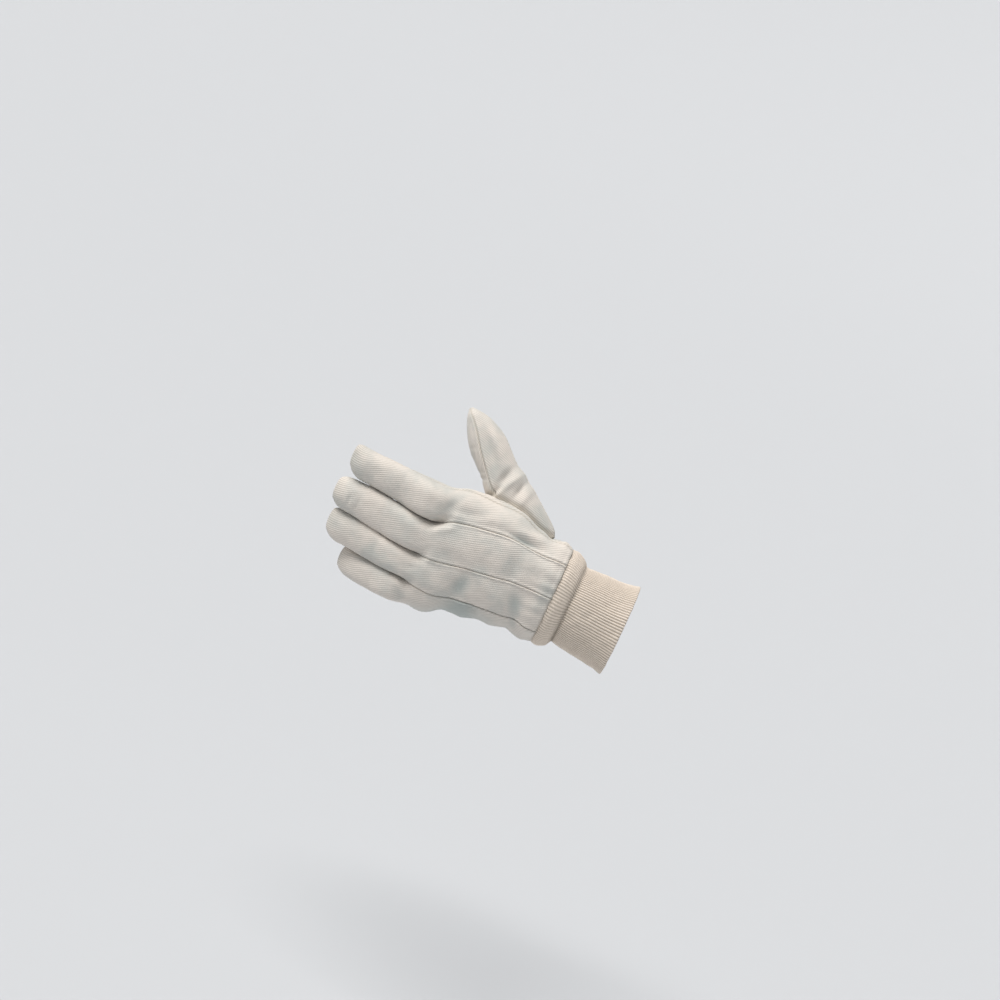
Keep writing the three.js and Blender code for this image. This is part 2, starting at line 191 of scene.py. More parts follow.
HAND_TABLE = Table(
    "along centre spread taper seam1 seam2 seam3 inner outer",
    (
        (0, 0.028, 0, 0, 0.78, 0.1, -0.66, 0.42, -0.34),
        (0.12, 0.032, 0.06, 0.06, 0.74, 0.08, -0.65, 0.36, -0.32),
        (0.25, 0.045, 0.16, 0.14, 0.7, 0.02, -0.68, 0.3, -0.3),
        (0.41, 0.062, 0.52, 0.27, 0.62, -0.09, -0.7, 0.27, -0.27),
        (0.6, 0.04, 0.72, 0.45, 0.57, -0.12, -0.69, 0.28, -0.25),
        (0.75, 0.002, 1, 0.62, 0.54, -0.11, -0.64, 0.32, -0.22),
        (0.87, -0.012, 0.88, 0.78, 0.5, -0.14, -0.63, 0.37, -0.2),
        (1, -0.038, 0.82, 1, 0.44, -0.12, -0.62, 0.43, -0.16),
    ),
)
THUMB_TABLE = Table(
    "along half depth side",
    (
        (0, 0.78, 0.45, 0),
        (0.116, 1.02, 0.68, 0),
        (0.25, 1.02, 0.9, -0.01),
        (0.39, 0.95, 1, -0.025),
        (0.5, 0.88, 1, -0.035),
        (0.6, 0.8, 0.96, -0.045),
        (0.75, 0.79, 0.9, -0.04),
        (0.84, 0.65, 0.8, -0.04),
        (0.91, 0.47, 0.62, -0.045),
        (0.96, 0.29, 0.42, -0.055),
        (1, 0.08, 0.03, -0.06),
    ),
)
CUFF_TABLE = Table(
    "step along centre wrist swell",
    (
        (0.0, -0.004, 0.008, 0, 0.972),
        (0.04, -0.012, 0.008, 0, 0.995),
        (0.08, 0.01, 0.008, 0, 1.003),
        (0.18, 0.1, 0.008, 0, 0.965),
        (0.3, 0.24, 0.01, 0, 0.93),
        (0.43, 0.44, 0.018, 0, 0.908),
        (0.55, 0.61, 0.024, 0, 0.886),
        (0.63, 0.715, 0.03, 0, 0.862),
        (0.67, 0.75, 0.032, 0.15, 0.848),
        (0.71, 0.772, 0.032, 0.5, 0.886),
        (0.75, 0.798, 0.03, 0.9, 0.938),
        (0.82, 0.858, 0.03, 1, 0.994),
        (0.89, 0.92, 0.032, 1, 1.024),
        (0.95, 0.968, 0.036, 1, 1.016),
        (0.98, 0.99, 0.039, 1, 1.006),
        (1.0, 1.001, 0.039, 1, 0.992),
    ),
)


@dataclass(frozen=True)
class Fold:
    """A fold or dent on a flat chart.

    Attributes:
        ahead: place of its middle along the glove, in millimetres.
        across: place of its middle across, in millimetres.
        turn: angle of its run from the glove's length, in degrees.
        run: how far it runs each way, in millimetres.
        width: how wide it is each way, in millimetres.
        height: its rise, or its dent below 0, in millimetres.
    """

    ahead: float
    across: float
    turn: float
    run: float
    width: float
    height: float

    def rise(self, ahead: float, across: float) -> float:
        """Work out the fold's height at a place.

        Args:
            ahead: the place along the glove.
            across: the place across.

        Returns:
            The height in millimetres, below 0 in a dent.
        """
        da, dc = ahead - self.ahead, across - self.across
        turn = math.radians(self.turn)
        run = (da * math.cos(turn) + dc * math.sin(turn)) / self.run
        side = (dc * math.cos(turn) - da * math.sin(turn)) / self.width
        distance = run * run + side * side
        return self.height * math.exp(-distance) if distance < 9.0 else 0.0


LITTLE_EDGE_FOLDS = (
    Fold(134.0, -49.0, 88, 13.0, 6.0, -2.0),
    Fold(118.0, -47.0, 92, 12.0, 5.0, 1.6),
    Fold(106.0, -45.0, 90, 12.0, 4.0, -1.0),
    Fold(95.0, -42.0, 84, 11.0, 4.5, 1.3),
    Fold(82.0, -39.0, 95, 12.0, 4.5, -1.8),
    Fold(70.0, -38.0, 88, 11.0, 5.0, 1.4),
)
PANEL_FOLDS = {
    Side.BACK: (
        Fold(168.0, 22.0, -16, 8.0, 3.0, -1.8),
        Fold(160.0, 17.5, -36, 9.0, 2.6, 1.8),
        Fold(152.0, 33.0, -8, 9.0, 3.2, 1.0),
        Fold(158.0, -10.5, 10, 10.0, 4.2, -1.4),
        Fold(172.0, -20.5, -16, 6.0, 1.3, -0.7),
        Fold(72.0, 33.0, 70, 9.0, 5.0, 1.0),
        Fold(95.0, -15.0, 55, 15.0, 6.0, 1.0),
        Fold(87.0, 43.0, 2, 16.0, 2.6, 1.6),
        Fold(98.0, 37.5, 3, 13.0, 2.6, -2.8),
        Fold(128.5, -16.5, 105, 14.0, 7.0, -2.9),
        Fold(117.0, -4.0, 35, 13.0, 4.5, 1.3),
        Fold(83.0, -11.0, 59, 12.0, 8.0, -2.9),
        Fold(74.0, -17.0, 60, 12.0, 4.0, 1.0),
        Fold(96.0, 15.0, 80, 11.0, 6.0, -1.7),
        Fold(110.0, 14.0, 70, 11.0, 5.0, 0.8),
        Fold(138.0, 8.0, 15, 13.0, 5.0, 0.8),
        Fold(144.0, 38.0, -12, 15.0, 4.0, -1.0),
        Fold(128.0, 41.0, -20, 13.0, 3.4, 0.9),
        Fold(236.0, 5.5, 84, 5.0, 1.4, -0.9),
        Fold(229.0, 3.0, 96, 6.0, 1.6, -0.5),
        *LITTLE_EDGE_FOLDS,
        Fold(111.0, -30.0, 28, 14.0, 3.2, -1.0),
        Fold(77.0, -28.0, 50, 10.0, 3.0, -0.9),
    ),
    Side.PALM: (
        Fold(119.0, 4.0, 15, 39.0, 20.0, -3.5),
        Fold(95.0, -27.0, 10, 32.0, 11.0, 1.6),
        Fold(132.0, 12.0, 62, 22.0, 2.6, -1.2),
        Fold(112.0, 16.0, 40, 24.0, 2.6, -1.3),
        Fold(103.0, -8.0, 75, 17.0, 3.2, -0.9),
        Fold(155.0, -5.0, 82, 30.0, 3.0, -1.2),
        Fold(152.0, 27.0, 20, 9.0, 4.5, -1.6),
        Fold(78.0, 6.0, 85, 22.0, 3.6, 0.9),
        *LITTLE_EDGE_FOLDS,
    ),
}
THUMB_FOLDS = (
    Fold(66.0, 2.5, 66, 9.5, 3.2, -2.8),
    Fold(59.5, 4.5, 74, 12.0, 2.8, 1.6),
    Fold(52.0, 9.5, 60, 7.0, 2.4, -2.4),
    Fold(59.0, -8.5, 75, 6.0, 2.4, -2.2),
    Fold(88.0, 0.5, 4, 20.0, 4.0, -1.5),
    Fold(92.0, 7.0, -4, 18.0, 3.2, 0.9),
    Fold(44.0, 10.0, 60, 9.0, 3.0, 1.1),
)


@dataclass(frozen=True)
class Finger:
    """A finger of the glove, with lengths in millimetres.

    Attributes:
        name: the finger's name.
        length: from the crotch line to the tip.
        width: across the finger.
        crotch: place of the crotch below it, as a share of the palm's length.
        shift: how far that crotch lies towards the little finger, as a share of the width.
        curl: drop of the tip towards the palm as a share of the length.
        lean: drift of the tip towards the thumb as a share of the width.
        lift: how far the finger stands out of the row towards the back.
    """

    name: str
    length: float
    width: float
    crotch: float
    shift: float
    curl: float
    lean: float
    lift: float


@dataclass
class HandForm:
    """The form of the hand and fingers that the panels follow, in millimetres."""

    cuff_length: float = 60.0
    seam_gap: float = 0.3
    palm_length: float = 117.0
    palm_width: float = 106.0
    knuckle_depth: float = 33.0
    wrist_width: float = 79.4
    wrist_depth: float = 56.0
    puff: float = 1.3
    web_length: float = 19.0
    finger_depth: float = 21.0
    finger_gap: float = 1.6
    parting_length: float = 55.0
    tip_round: float = 14.0
    tip_flat: float = 0.4
    tip_power: float = 2.5
    tip_dome: float = 1.6
    hand_power: float = 2.35
    finger_power: float = 2.2
    pressed_power: float = 3.1
    fingers: tuple[Finger, ...] = (
        Finger("index", 70.0, 25.2, 0.95, 0.13, 0.07, 0.16, -1.6),
        Finger("middle", 72.0, 25.9, 1.0, 0.14, 0.13, 0.03, 2.2),
        Finger("ring", 67.0, 23.9, 1.0, 0.03, 0.18, 0.1, 3.0),
        Finger("little", 47.0, 21.8, 1.0, 0.0, 0.3, 0.08, 2.8),
    )
    parting_start: float = 50.0
    parting_end: float = 74.0
    thinned_share: float = 0.4
    lifted_share: float = 0.35
    pressed_shares: tuple[float, float] = (0.15, 0.85)
    tip_wall: float = 0.05
    table: Table = HAND_TABLE

    def __post_init__(self) -> None:
        """Place the fingers side by side about the knuckles' centre."""
        self.wrist = self.cuff_length + self.seam_gap
        self.crotch_line = self.wrist + self.palm_length
        self.knuckles = self.section(1.0)
        row = sum(finger.width for finger in self.fingers)
        row += self.finger_gap * (len(self.fingers) - 1)
        edge = self.knuckles[0] + row / 2
        self.centres: list[float] = []
        for finger in self.fingers:
            self.centres.append(edge - finger.width / 2)
            edge -= finger.width + self.finger_gap

    def section(self, along: float) -> tuple[float, float, float]:
        """Read the hand's section.

        Args:
            along: share of the palm's length.

        Returns:
            The section's centre, half width and half depth.
        """
        read = self.table.read
        centre = read("centre", along) * self.palm_width
        half = lerp(self.wrist_width, self.palm_width, read("spread", along)) / 2
        depth = lerp(self.wrist_depth, self.knuckle_depth, read("taper", along)) / 2
        return centre, half, depth

    def seam_angle(self, side: Side, seam: int, along: float) -> float:
        """Return a seam's angle on the hand's section.

        Args:
            side: the side of the hand.
            seam: 0 at the thumb's edge to 4 at the little finger's edge.
            along: share of the palm's length.

        Returns:
            The angle from the +Z edge in radians.
        """
        if seam == 0:
            return 0.0
        if seam == len(self.fingers):
            return math.pi
        back = ("seam1", "seam2", "seam3")
        palm = ("inner", "outer", "seam3")
        column = (back if side is Side.BACK else palm)[seam - 1]
        share = self.table.read(column, along)
        return math.acos(math.copysign(abs(share) ** (self.hand_power / 2), share))

    def crotch(self, seam: int) -> tuple[float, float]:
        """Find the crotch that ends a seam.

        Args:
            seam: 0 at the thumb's edge to 4 at the little finger's edge.

        Returns:
            The crotch's place along the glove and its z.
        """
        centre, half, _ = self.knuckles
        if seam == 0:
            return self.wrist + self.fingers[0].crotch * self.palm_length, centre + half
        upper = self.fingers[seam - 1]
        place = self.wrist + upper.crotch * self.palm_length
        if seam == len(self.fingers):
            return place, centre - half
        lower_edge = self.centres[seam - 1] - upper.width / 2
        upper_edge = self.centres[seam] + self.fingers[seam].width / 2
        return place, (lower_edge + upper_edge) / 2 - upper.shift * upper.width

    def edge(self, index: int, seam: int, place: float) -> float:
        """Find a finger's edge, which parts from its neighbour near the tip.

        Args:
            index: the finger's number from the thumb's side.
            seam: the seam at that edge, 0 to 4.
            place: the place along the glove.

        Returns:
            The edge's z.
        """
        half = self.fingers[index].width / 2
        own = self.centres[index] + (half if seam == index else -half)
        start, z = self.crotch(seam)
        settled = smoothstep(place, start, start + self.parting_length)
        if seam in (0, len(self.fingers)):
            return lerp(z, own, settled)
        half_gap = math.copysign(self.finger_gap / 2, own - self.centres[index])
        parted = smoothstep(place, start + self.parting_start, start + self.parting_end)
        return lerp(z, own + half_gap, settled) - parted * half_gap

    def inside(self, point: Vector) -> float:
        """Measure how deep a point lies inside the hand.

        Args:
            point: the point in millimetres.

        Returns:
            The depth in millimetres, below 0 outside the hand.
        """
        along = (-point.x - self.wrist) / self.palm_length
        centre, half, depth = self.section(min(max(along, 0.0), 1.0))
        power = self.hand_power
        level = (abs(point.z - centre) / half) ** power + (abs(point.y) / depth) ** power
        return (1.0 - level ** (1.0 / power)) * min(half, depth)


@dataclass
class ThumbForm:
    """The form of the set-in thumb, from its root inside the hand to its tip."""

    hand: HandForm
    length: float = 128.5
    width: float = 38.0
    depth: float = 27.0
    inset: float = 19.0
    spread: float = math.radians(40.3)
    lean: float = math.radians(12.5)
    seam_turn: float = math.radians(60.0)
    seam_turn_at_tip: float = math.radians(84.0)
    root_along: float = 0.193
    power: float = 2.2
    root_share: float = 0.22
    first_share: float = 0.02
    last_share: float = 0.97
    table: Table = THUMB_TABLE

    def __post_init__(self) -> None:
        """Work out the thumb's root and its three directions."""
        centre, half, _ = self.hand.section(self.root_along)
        root_x = -(self.hand.wrist + self.root_along * self.hand.palm_length)
        self.root = Vector((root_x, self.root_share * self.depth, centre + half - self.inset))
        level = math.cos(self.lean)
        self.axis = Vector(
            (-math.cos(self.spread) * level, math.sin(self.lean), math.sin(self.spread) * level)
        )
        self.across = Vector((math.sin(self.spread), 0.0, math.cos(self.spread)))
        self.out = self.axis.cross(self.across).normalized()

    def sizes(self, along: float) -> tuple[float, float, float]:
        """Read the thumb's section.

        Args:
            along: share of the thumb's length.

        Returns:
            The half width, the half depth and the drift to the side.
        """
        half = self.table.read("half", along) * self.width / 2
        depth = self.table.read("depth", along) * self.depth / 2
        return half, depth, self.table.read("side", along) * self.width

    def point(self, along: float, angle: float) -> Vector:
        """Find a point of the thumb's outer face.

        Args:
            along: share of the thumb's length.
            angle: the angle on its section in radians.

        Returns:
            The point in millimetres.
        """
        half, depth, side = self.sizes(along)
        z, y = oval(half, depth, angle, self.power)
        middle = self.root + self.axis * along * self.length
        return middle + self.across * (z + side) + self.out * y

    def outside(self, point: Vector) -> float:
        """Measure how far a point lies outside the thumb.

        Args:
            point: the point in millimetres.

        Returns:
            The distance in millimetres, below 0 inside the thumb.
        """
        offset = point - self.root
        along = offset.dot(self.axis) / self.length
        if not self.first_share < along < self.last_share:
            return math.inf
        half, depth, side = self.sizes(along)
        z, y = offset.dot(self.across) - side, offset.dot(self.out)
        level = (abs(z) / half) ** self.power + (abs(y) / depth) ** self.power
        return (level ** (1.0 / self.power) - 1.0) * min(half, depth)


class Dye:
    """A material in the making: its shader and the pattern nodes that feed it."""

    def __init__(self, name: str, **inputs: object) -> None:
        """Start a material.

        Args:
            name: the material's name.
            **inputs: the shader's socket values, with spaces in their names as underscores.
        """
        self.made = bpy.data.materials.new(name)
        self.made.use_nodes = True
        self.tree = self.made.node_tree
        self.shader = self.tree.nodes["Principled BSDF"]
        self.fill(self.shader, **inputs)

    def feed(self, target: bpy.types.NodeSocket, value: object) -> None:
        """Link a socket to an input, or set the input to a constant.

        Args:
            target: the input.
            value: the socket or the constant.
        """
        if isinstance(value, bpy.types.NodeSocket):
            self.tree.links.new(value, target)
        else:
            target.default_value = value

    def fill(self, target: bpy.types.Node, **inputs: object) -> None:
        """Feed several inputs of a node by name."""
        for name, value in inputs.items():
            self.feed(target.inputs[name.replace("_", " ")], value)

    def add(self, kind: str, **inputs: object) -> bpy.types.Node:
        """Add a node.

        Args:
            kind: its type without the ShaderNode prefix.
            **inputs: sockets or constants by input name.

        Returns:
            The new node.
        """
        made = self.tree.nodes.new("ShaderNode" + kind)
        self.fill(made, **inputs)
        return made

    def math(self, operation: str, *values: object, clamp: bool = False) -> bpy.types.NodeSocket:
        """Work out a value from sockets and numbers.

        Args:
            operation: the Math node's operation.
            *values: its inputs in order.
            clamp: whether the result is held between 0 and 1.

        Returns:
            The result's socket.
        """
        made = self.add("Math")
        made.operation = operation
        made.use_clamp = clamp
        for target, value in zip(made.inputs, values):
            self.feed(target, value)
        return made.outputs[0]

    def plus(self, base: object, value: object, factor: object) -> bpy.types.NodeSocket:
        """Return a base plus a value times a factor."""
        return self.math("MULTIPLY_ADD", value, factor, base)

    def wave(self, phase: bpy.types.NodeSocket) -> bpy.types.NodeSocket:
        """Return a sine wave that runs between 0 and 1."""
        return self.plus(0.5, self.math("SINE", phase), 0.5)

    def spread(
        self, value: bpy.types.NodeSocket, low: float, high: float, start: float = 0.0, end: float = 1.0
    ) -> bpy.types.NodeSocket:
        """Map a socket's range softly onto another and hold it there.

        Args:
            value: the socket to map.
            low: the value that becomes start.
            high: the value that becomes end.
            start: the result at and below low.
            end: the result at and above high.

        Returns:
            The mapped socket.
        """
        made = self.add("MapRange", Value=value, From_Min=low, From_Max=high, To_Min=start, To_Max=end)
        made.interpolation_type = "SMOOTHSTEP"
        return made.outputs["Result"]

    def mix(self, share: bpy.types.NodeSocket, low: object, high: object) -> bpy.types.NodeSocket:
        """Mix two colours, each a socket or three numbers.

        Args:
            share: runs from low (0) to high (1).
            low: the first colour.
            high: the second colour.

        Returns:
            The mixed colour's socket.
        """
        made = self.add("Mix")
        made.data_type = "RGBA"
        self.feed(made.inputs["Factor"], share)
        for target, value in ((made.inputs[6], low), (made.inputs[7], high)):
            self.feed(target, value if isinstance(value, bpy.types.NodeSocket) else (*value, 1.0))
        return made.outputs[2]

    def chart(self) -> bpy.types.NodeSocket:
        """Return the piece's chart, which is the flat cut of its cloth."""
        made = self.add("UVMap")
        made.uv_map = "cut"
        return made.outputs[0]

    def axes(self, chart: bpy.types.NodeSocket) -> tuple[bpy.types.NodeSocket, bpy.types.NodeSocket]:
        """Return a chart's two axes."""
        apart = self.add("SeparateXYZ", Vector=chart)
        return apart.outputs[0], apart.outputs[1]

    def layer(self, name: str) -> bpy.types.NodeSocket:
        """Return the value of that name that the piece's vertices hold."""
        made = self.add("Attribute")
        made.attribute_name = name
        return made.outputs["Fac"]

    def remap(self, chart: bpy.types.NodeSocket, **inputs: object) -> bpy.types.NodeSocket:
        """Return a chart turned or scaled."""
        return self.add("Mapping", Vector=chart, **inputs).outputs[0]

    def cloud(
        self, chart: bpy.types.NodeSocket, scale: float, detail: float, roughness: float = 0.5
    ) -> bpy.types.NodeSocket:
        """Return soft noise over a chart."""
        made = self.add("TexNoise", Vector=chart, Scale=scale, Detail=detail, Roughness=roughness)
        return made.outputs[0]

    def finish(
        self, colour: bpy.types.NodeSocket, relief: bpy.types.NodeSocket, strength: float
    ) -> bpy.types.Material:
        """Give the shader its colour and its fine relief.

        Args:
            colour: the colour's socket.
            relief: the relief's socket, as a share of the relief's full height.
            strength: the relief's strength.

        Returns:
            The finished material.
        """
        bumps = self.add("Bump", Height=relief, Strength=strength, Distance=WEAVE_RELIEF * MM)
        self.fill(self.shader, Base_Color=colour, Normal=bumps.outputs[0])
        return self.made


@dataclass(frozen=True)
class TwillFinish:
    """Unbleached cotton drill: slanting twill ribs, slubby yarn and soft soiling.

    Attributes:
        name: the material's name.
        turn: angle of the twill ribs from the panel's length, in degrees.
        pitch: distance between twill ribs, in millimetres.
        float_share: length of one thread's float over the ribs, as a share of the pitch.
        pale: colour of the ribs' crests.
        deep: colour between the ribs.
        grey_patch_and_shade: grey colour of rubbed patches, and of the painted shade in dents and at
            the lower edge.
        shade_and_soil: colour of the painted shade in seams, creases and crotches, and of the soiled
            fingertips.
        roughness: roughness of the cloth.
    """

    name: str
    turn: float
    pitch: float = 1.55
    float_share: float = 0.8
    pale: Colour = (0.77, 0.71, 0.65)
    deep: Colour = (0.54, 0.5, 0.445)
    grey_patch_and_shade: Colour = (0.3888, 0.43, 0.41385)
    shade_and_soil: Colour = (0.36, 0.315, 0.235)
    roughness: float = 0.92

    def material(self) -> bpy.types.Material:
        """Make the material on the panel's own chart.

        Returns:
            The material, with its pattern in millimetres of cloth.
        """
        dye = Dye(
            self.name,
            Roughness=self.roughness,
            Specular_IOR_Level=0.2,
            Sheen_Weight=0.25,
            Sheen_Roughness=0.45,
        )
        chart = dye.chart()
        turned = dye.remap(chart, Rotation=(0.0, 0.0, -math.radians(self.turn)))
        run, across = dye.axes(turned)
        drift = dye.plus(across, dye.cloud(chart, 0.06, 2.0), 1.3)
        ribs = dye.math("MULTIPLY", drift, TURN / self.pitch)
        half_step = dye.math("MULTIPLY", ribs, 0.5)
        yarn = dye.wave(dye.plus(half_step, run, TURN / (self.pitch * self.float_share)))
        slub = dye.cloud(dye.remap(turned, Scale=(0.12, 1.1, 1.0)), 1.0, 3.0, 0.6)
        lint = dye.cloud(chart, 2.6, 4.0, 0.7)
        patches = dye.cloud(chart, 0.035, 3.0, 0.55)

        weave = dye.plus(dye.math("MULTIPLY", dye.wave(ribs), 0.75), yarn, 0.25)
        tone = dye.plus(dye.plus(weave, slub, 0.7), lint, 0.35)
        colour = dye.mix(dye.spread(tone, 0.45, 1.45), self.deep, self.pale)
        # Grey random patches, and grey painted shade held by the vertices in dents and at the lower
        # edge.
        patches_and_shade = dye.math("MAXIMUM", dye.spread(patches, 0.38, 0.7, 0.0, 0.5), dye.layer("dent"))
        colour = dye.mix(patches_and_shade, colour, self.grey_patch_and_shade)
        # Painted shade in seams, creases and crotches, with the soiled fingertips, from the vertices'
        # mask.
        shade_and_dirt = dye.math("MULTIPLY", dye.layer("shade_and_soil_mask"), 0.75, clamp=True)
        colour = dye.mix(shade_and_dirt, colour, self.shade_and_soil)
        relief = dye.plus(dye.plus(weave, slub, 0.5), lint, 0.45)
        return dye.finish(colour, relief, 0.75)


@dataclass(frozen=True)
class RibFinish:
    """Ribbed cotton knit: rows of small loops along each rib, with painted shade between the ribs.

    Attributes:
        name: the material's name.
        course: length of one loop along a rib, in millimetres.
        pale: colour of the ribs.
        warm: colour of the ribs in rubbed patches.
        deep: colour in the grooves, a painted groove shade.
        shade_and_soil: colour of the painted shade in the crease, inside the cuff and at the seam.
        roughness: roughness of the knit.
    """

    name: str = "rib_knit_cotton"
    course: float = 1.25
    pale: Colour = (0.82, 0.725, 0.63)
    warm: Colour = (0.7216, 0.638, 0.5544)
    deep: Colour = (0.42, 0.355, 0.28)
    shade_and_soil: Colour = (0.252, 0.213, 0.168)
    roughness: float = 0.95

    def material(self) -> bpy.types.Material:
        """Make the material on the cuff's own chart, whose second axis counts the ribs.

        Returns:
            The material.
        """
        dye = Dye(
            self.name,
            Roughness=self.roughness,
            Specular_IOR_Level=0.15,
            Sheen_Weight=0.3,
            Sheen_Roughness=0.5,
        )
        chart = dye.chart()
        run, rib = dye.axes(chart)
        away = dye.math("ABSOLUTE", dye.math("SUBTRACT", dye.math("FRACT", rib), 0.5))
        slant = dye.plus(run, away, -1.5 * self.course)
        loop = dye.wave(dye.math("MULTIPLY", slant, TURN / self.course))
        # Painted groove shade: the grooves between the ribs are darker, less so on the closed-up roll.
        crest = dye.math("MAXIMUM", dye.spread(away, 0.12, 0.46, 1.0, 0.0), dye.layer("shut"))
        lint = dye.cloud(chart, 1.7, 4.0, 0.7)
        patches = dye.cloud(dye.remap(chart, Scale=(0.05, 0.09, 1.0)), 1.0, 3.0)

        tone = dye.plus(dye.math("MULTIPLY", crest, 0.8), loop, 0.22)
        tone = dye.plus(tone, lint, 0.5)
        colour = dye.mix(dye.spread(tone, 0.2, 1.28), self.deep, self.pale)
        colour = dye.mix(dye.spread(patches, 0.5, 0.8, 0.0, 0.4), colour, self.warm)
        # Painted shade in the roll's crease, most on its lower side, inside the cuff and at the seam.
        shade_and_dirt = dye.math("MULTIPLY", dye.layer("shade_and_soil_mask"), 0.8, clamp=True)
        colour = dye.mix(shade_and_dirt, colour, self.shade_and_soil)
        relief = dye.plus(dye.math("MULTIPLY", lint, 0.6), loop, crest)
        return dye.finish(colour, relief, 0.8)


@dataclass(frozen=True)
class ThreadFinish:
    """Plain cotton sewing thread with a fine ply.

    Attributes:
        name: the material's name.
        pale: colour of the thread.
        deep: colour between its plies.
    """

    name: str = "sewing_thread"
    pale: Colour = (0.8, 0.75, 0.66)
    deep: Colour = (0.576, 0.54, 0.4752)

    def material(self) -> bpy.types.Material:
        """Make the thread's material."""
        dye = Dye(self.name, Roughness=0.8, Sheen_Weight=0.2)
        ply = dye.cloud(dye.add("TexCoord").outputs["Object"], 2200.0, 2.0)
        colour = dye.mix(dye.spread(ply, 0.35, 0.65), self.deep, self.pale)
        dye.fill(dye.shader, Base_Color=colour)
        return dye.made


def cloth_grid(
    rows: int,
    columns: int,
    point: Callable[[int, int], Vector],
    chart: Callable[[int, int], tuple[float, float]],
) -> bmesh.types.BMesh:
    """Bend a flat cut of cloth to its sewn place.

    Args:
        rows: quads along the cloth.
        columns: quads across the cloth.
        point: gives a place in millimetres from a row and a column.
        chart: gives the place on the flat cut in millimetres from a row and a column.

    Returns:
        A bmesh in millimetres, its chart in the UV map and a painted shade and soiling mask per vertex.
    """
    bm = bmesh.new()
    bmesh.ops.create_grid(bm, x_segments=columns, y_segments=rows, size=1.0)
    cut = bm.loops.layers.uv.new("cut")
    # Each vertex holds a mask of painted shade and soiling that darkens the cloth's colour.
    bm.verts.layers.float.new("shade_and_soil_mask")
    at: dict[bmesh.types.BMVert, tuple[int, int]] = {}
    for vert in bm.verts:
        row = round((vert.co.y + 1.0) / 2.0 * rows)
        column = round((vert.co.x + 1.0) / 2.0 * columns)
        at[vert] = (row, column)
        vert.co = point(row, column)
    for face in bm.faces:
        for loop in face.loops:
            loop[cut].uv = chart(*at[loop.vert])
    bm.normal_update()
    return bm


def cells(bm: bmesh.types.BMesh, columns: int) -> Iterator[tuple[bmesh.types.BMVert, int, int]]:
    """Go through the vertices of a bent cloth.

    Args:
        bm: the cloth.
        columns: quads across it.

    Yields:
        Each vertex with its row and its column.
    """
    for number, vert in enumerate(sorted(bm.verts, key=lambda item: item.index)):
        yield (vert, *divmod(number, columns + 1))


def smooth_mesh(name: str, bm: bmesh.types.BMesh) -> bpy.types.Mesh:
    """Turn a bmesh into a smoothly shaded mesh and free it.

    Args:
        name: the mesh's name.
        bm: the bmesh.

    Returns:
        The mesh.
    """
    mesh = bpy.data.meshes.new(name)
    bm.to_mesh(mesh)
    bm.free()
    mesh.polygons.foreach_set("use_smooth", [True] * len(mesh.polygons))
    return mesh


def face_towards(bm: bmesh.types.BMesh, direction: Callable[[Vector], Vector]) -> None:
    """Turn a sheet's faces so that most of them look along a direction.

    Args:
        bm: the sheet.
        direction: gives the outward direction at a place.
    """
    total = sum(f.normal.dot(direction(f.calc_center_median())) * f.calc_area() for f in bm.faces)
    if total < 0.0:
        bmesh.ops.reverse_faces(bm, faces=bm.faces[:])
    bm.normal_update()


def finish_piece(
    name: str,
    bm: bmesh.types.BMesh,
    material: bpy.types.Material,
    replaces: Sequence[str] = (),
    wall: float = 0.0,
) -> bpy.types.Object:
    """Make a bmesh in millimetres a piece of the glove in metres.

    Args:
        name: the piece's name.
        bm: its mesh, which is freed.
        material: its material.
        replaces: the frame's nodes that it stands for.
        wall: thickness added inwards, in millimetres.

    Returns:
        The new object.
    """
    bmesh.ops.scale(bm, vec=Vector((MM, MM, MM)), verts=bm.verts[:])
    mesh = smooth_mesh(name, bm)
    mesh.materials.append(material)
    piece = bpy.data.objects.new(name, mesh)
    bpy.context.scene.collection.objects.link(piece)
    if wall:
        solid = piece.modifiers.new("wall", "SOLIDIFY")
        solid.thickness = wall * MM
        solid.offset = -1.0
    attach(piece, "root")
    if replaces:
        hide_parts(*replaces)
    LOG.info("%s: %d faces", name, len(mesh.polygons))
    return piece


@dataclass
class SeamRelief:
    """The relief of a sewn seam: a pinched valley with a soft ridge beside it.

    A welted side rises into a thin welt with a shallow valley; painted shade darkens each valley.
    """

    dip: float = 0.5
    dip_width: float = 0.45
    ridge: float = 0.4
    ridge_place: float = 1.7
    ridge_width: float = 0.9
    welt: float = 0.75
    welt_place: float = 1.0
    welt_width: float = 0.62
    stitch: float = 3.1
    pucker: float = 0.09
    pucker_place: float = 1.2
    pucker_width: float = 2.0
    reach: float = 8.0
    welt_share: float = 0.85
    shade_and_soil: float = 0.4
    seam_shade_width: float = 0.6

    def height(self, distance: float, run: float, welted: float = 0.0) -> float:
        """Return the cloth's rise near a seam.

        Args:
            distance: from the seam, in millimetres.
            run: place along the seam, in millimetres.
            welted: how far the turned-in edges push this side up into a thin welt, 0 to 1.

        Returns:
            The rise in millimetres, below 0 in the valley.
        """
        if distance > self.reach:
            return 0.0
        valley = -self.dip * (1.0 - self.welt_share * welted) * bump(distance, self.dip_width)
        ridge = self.ridge * bump(distance - self.ridge_place, self.ridge_width)
        welt = self.welt * bump(distance - self.welt_place, self.welt_width)
        pucker = self.pucker * math.cos(TURN * run / self.stitch)
        pucker *= bump(distance - self.pucker_place, self.pucker_width)
        return valley + lerp(ridge, welt, welted) + pucker

    def shade_and_soil_mask(self, distance: float, welted: float = 0.0) -> float:
        """Return the painted shade in a seam's groove at a distance from the seam, from 0 to 1."""
        return self.shade_and_soil * (1.0 - self.welt_share * welted) * bump(distance, self.seam_shade_width)


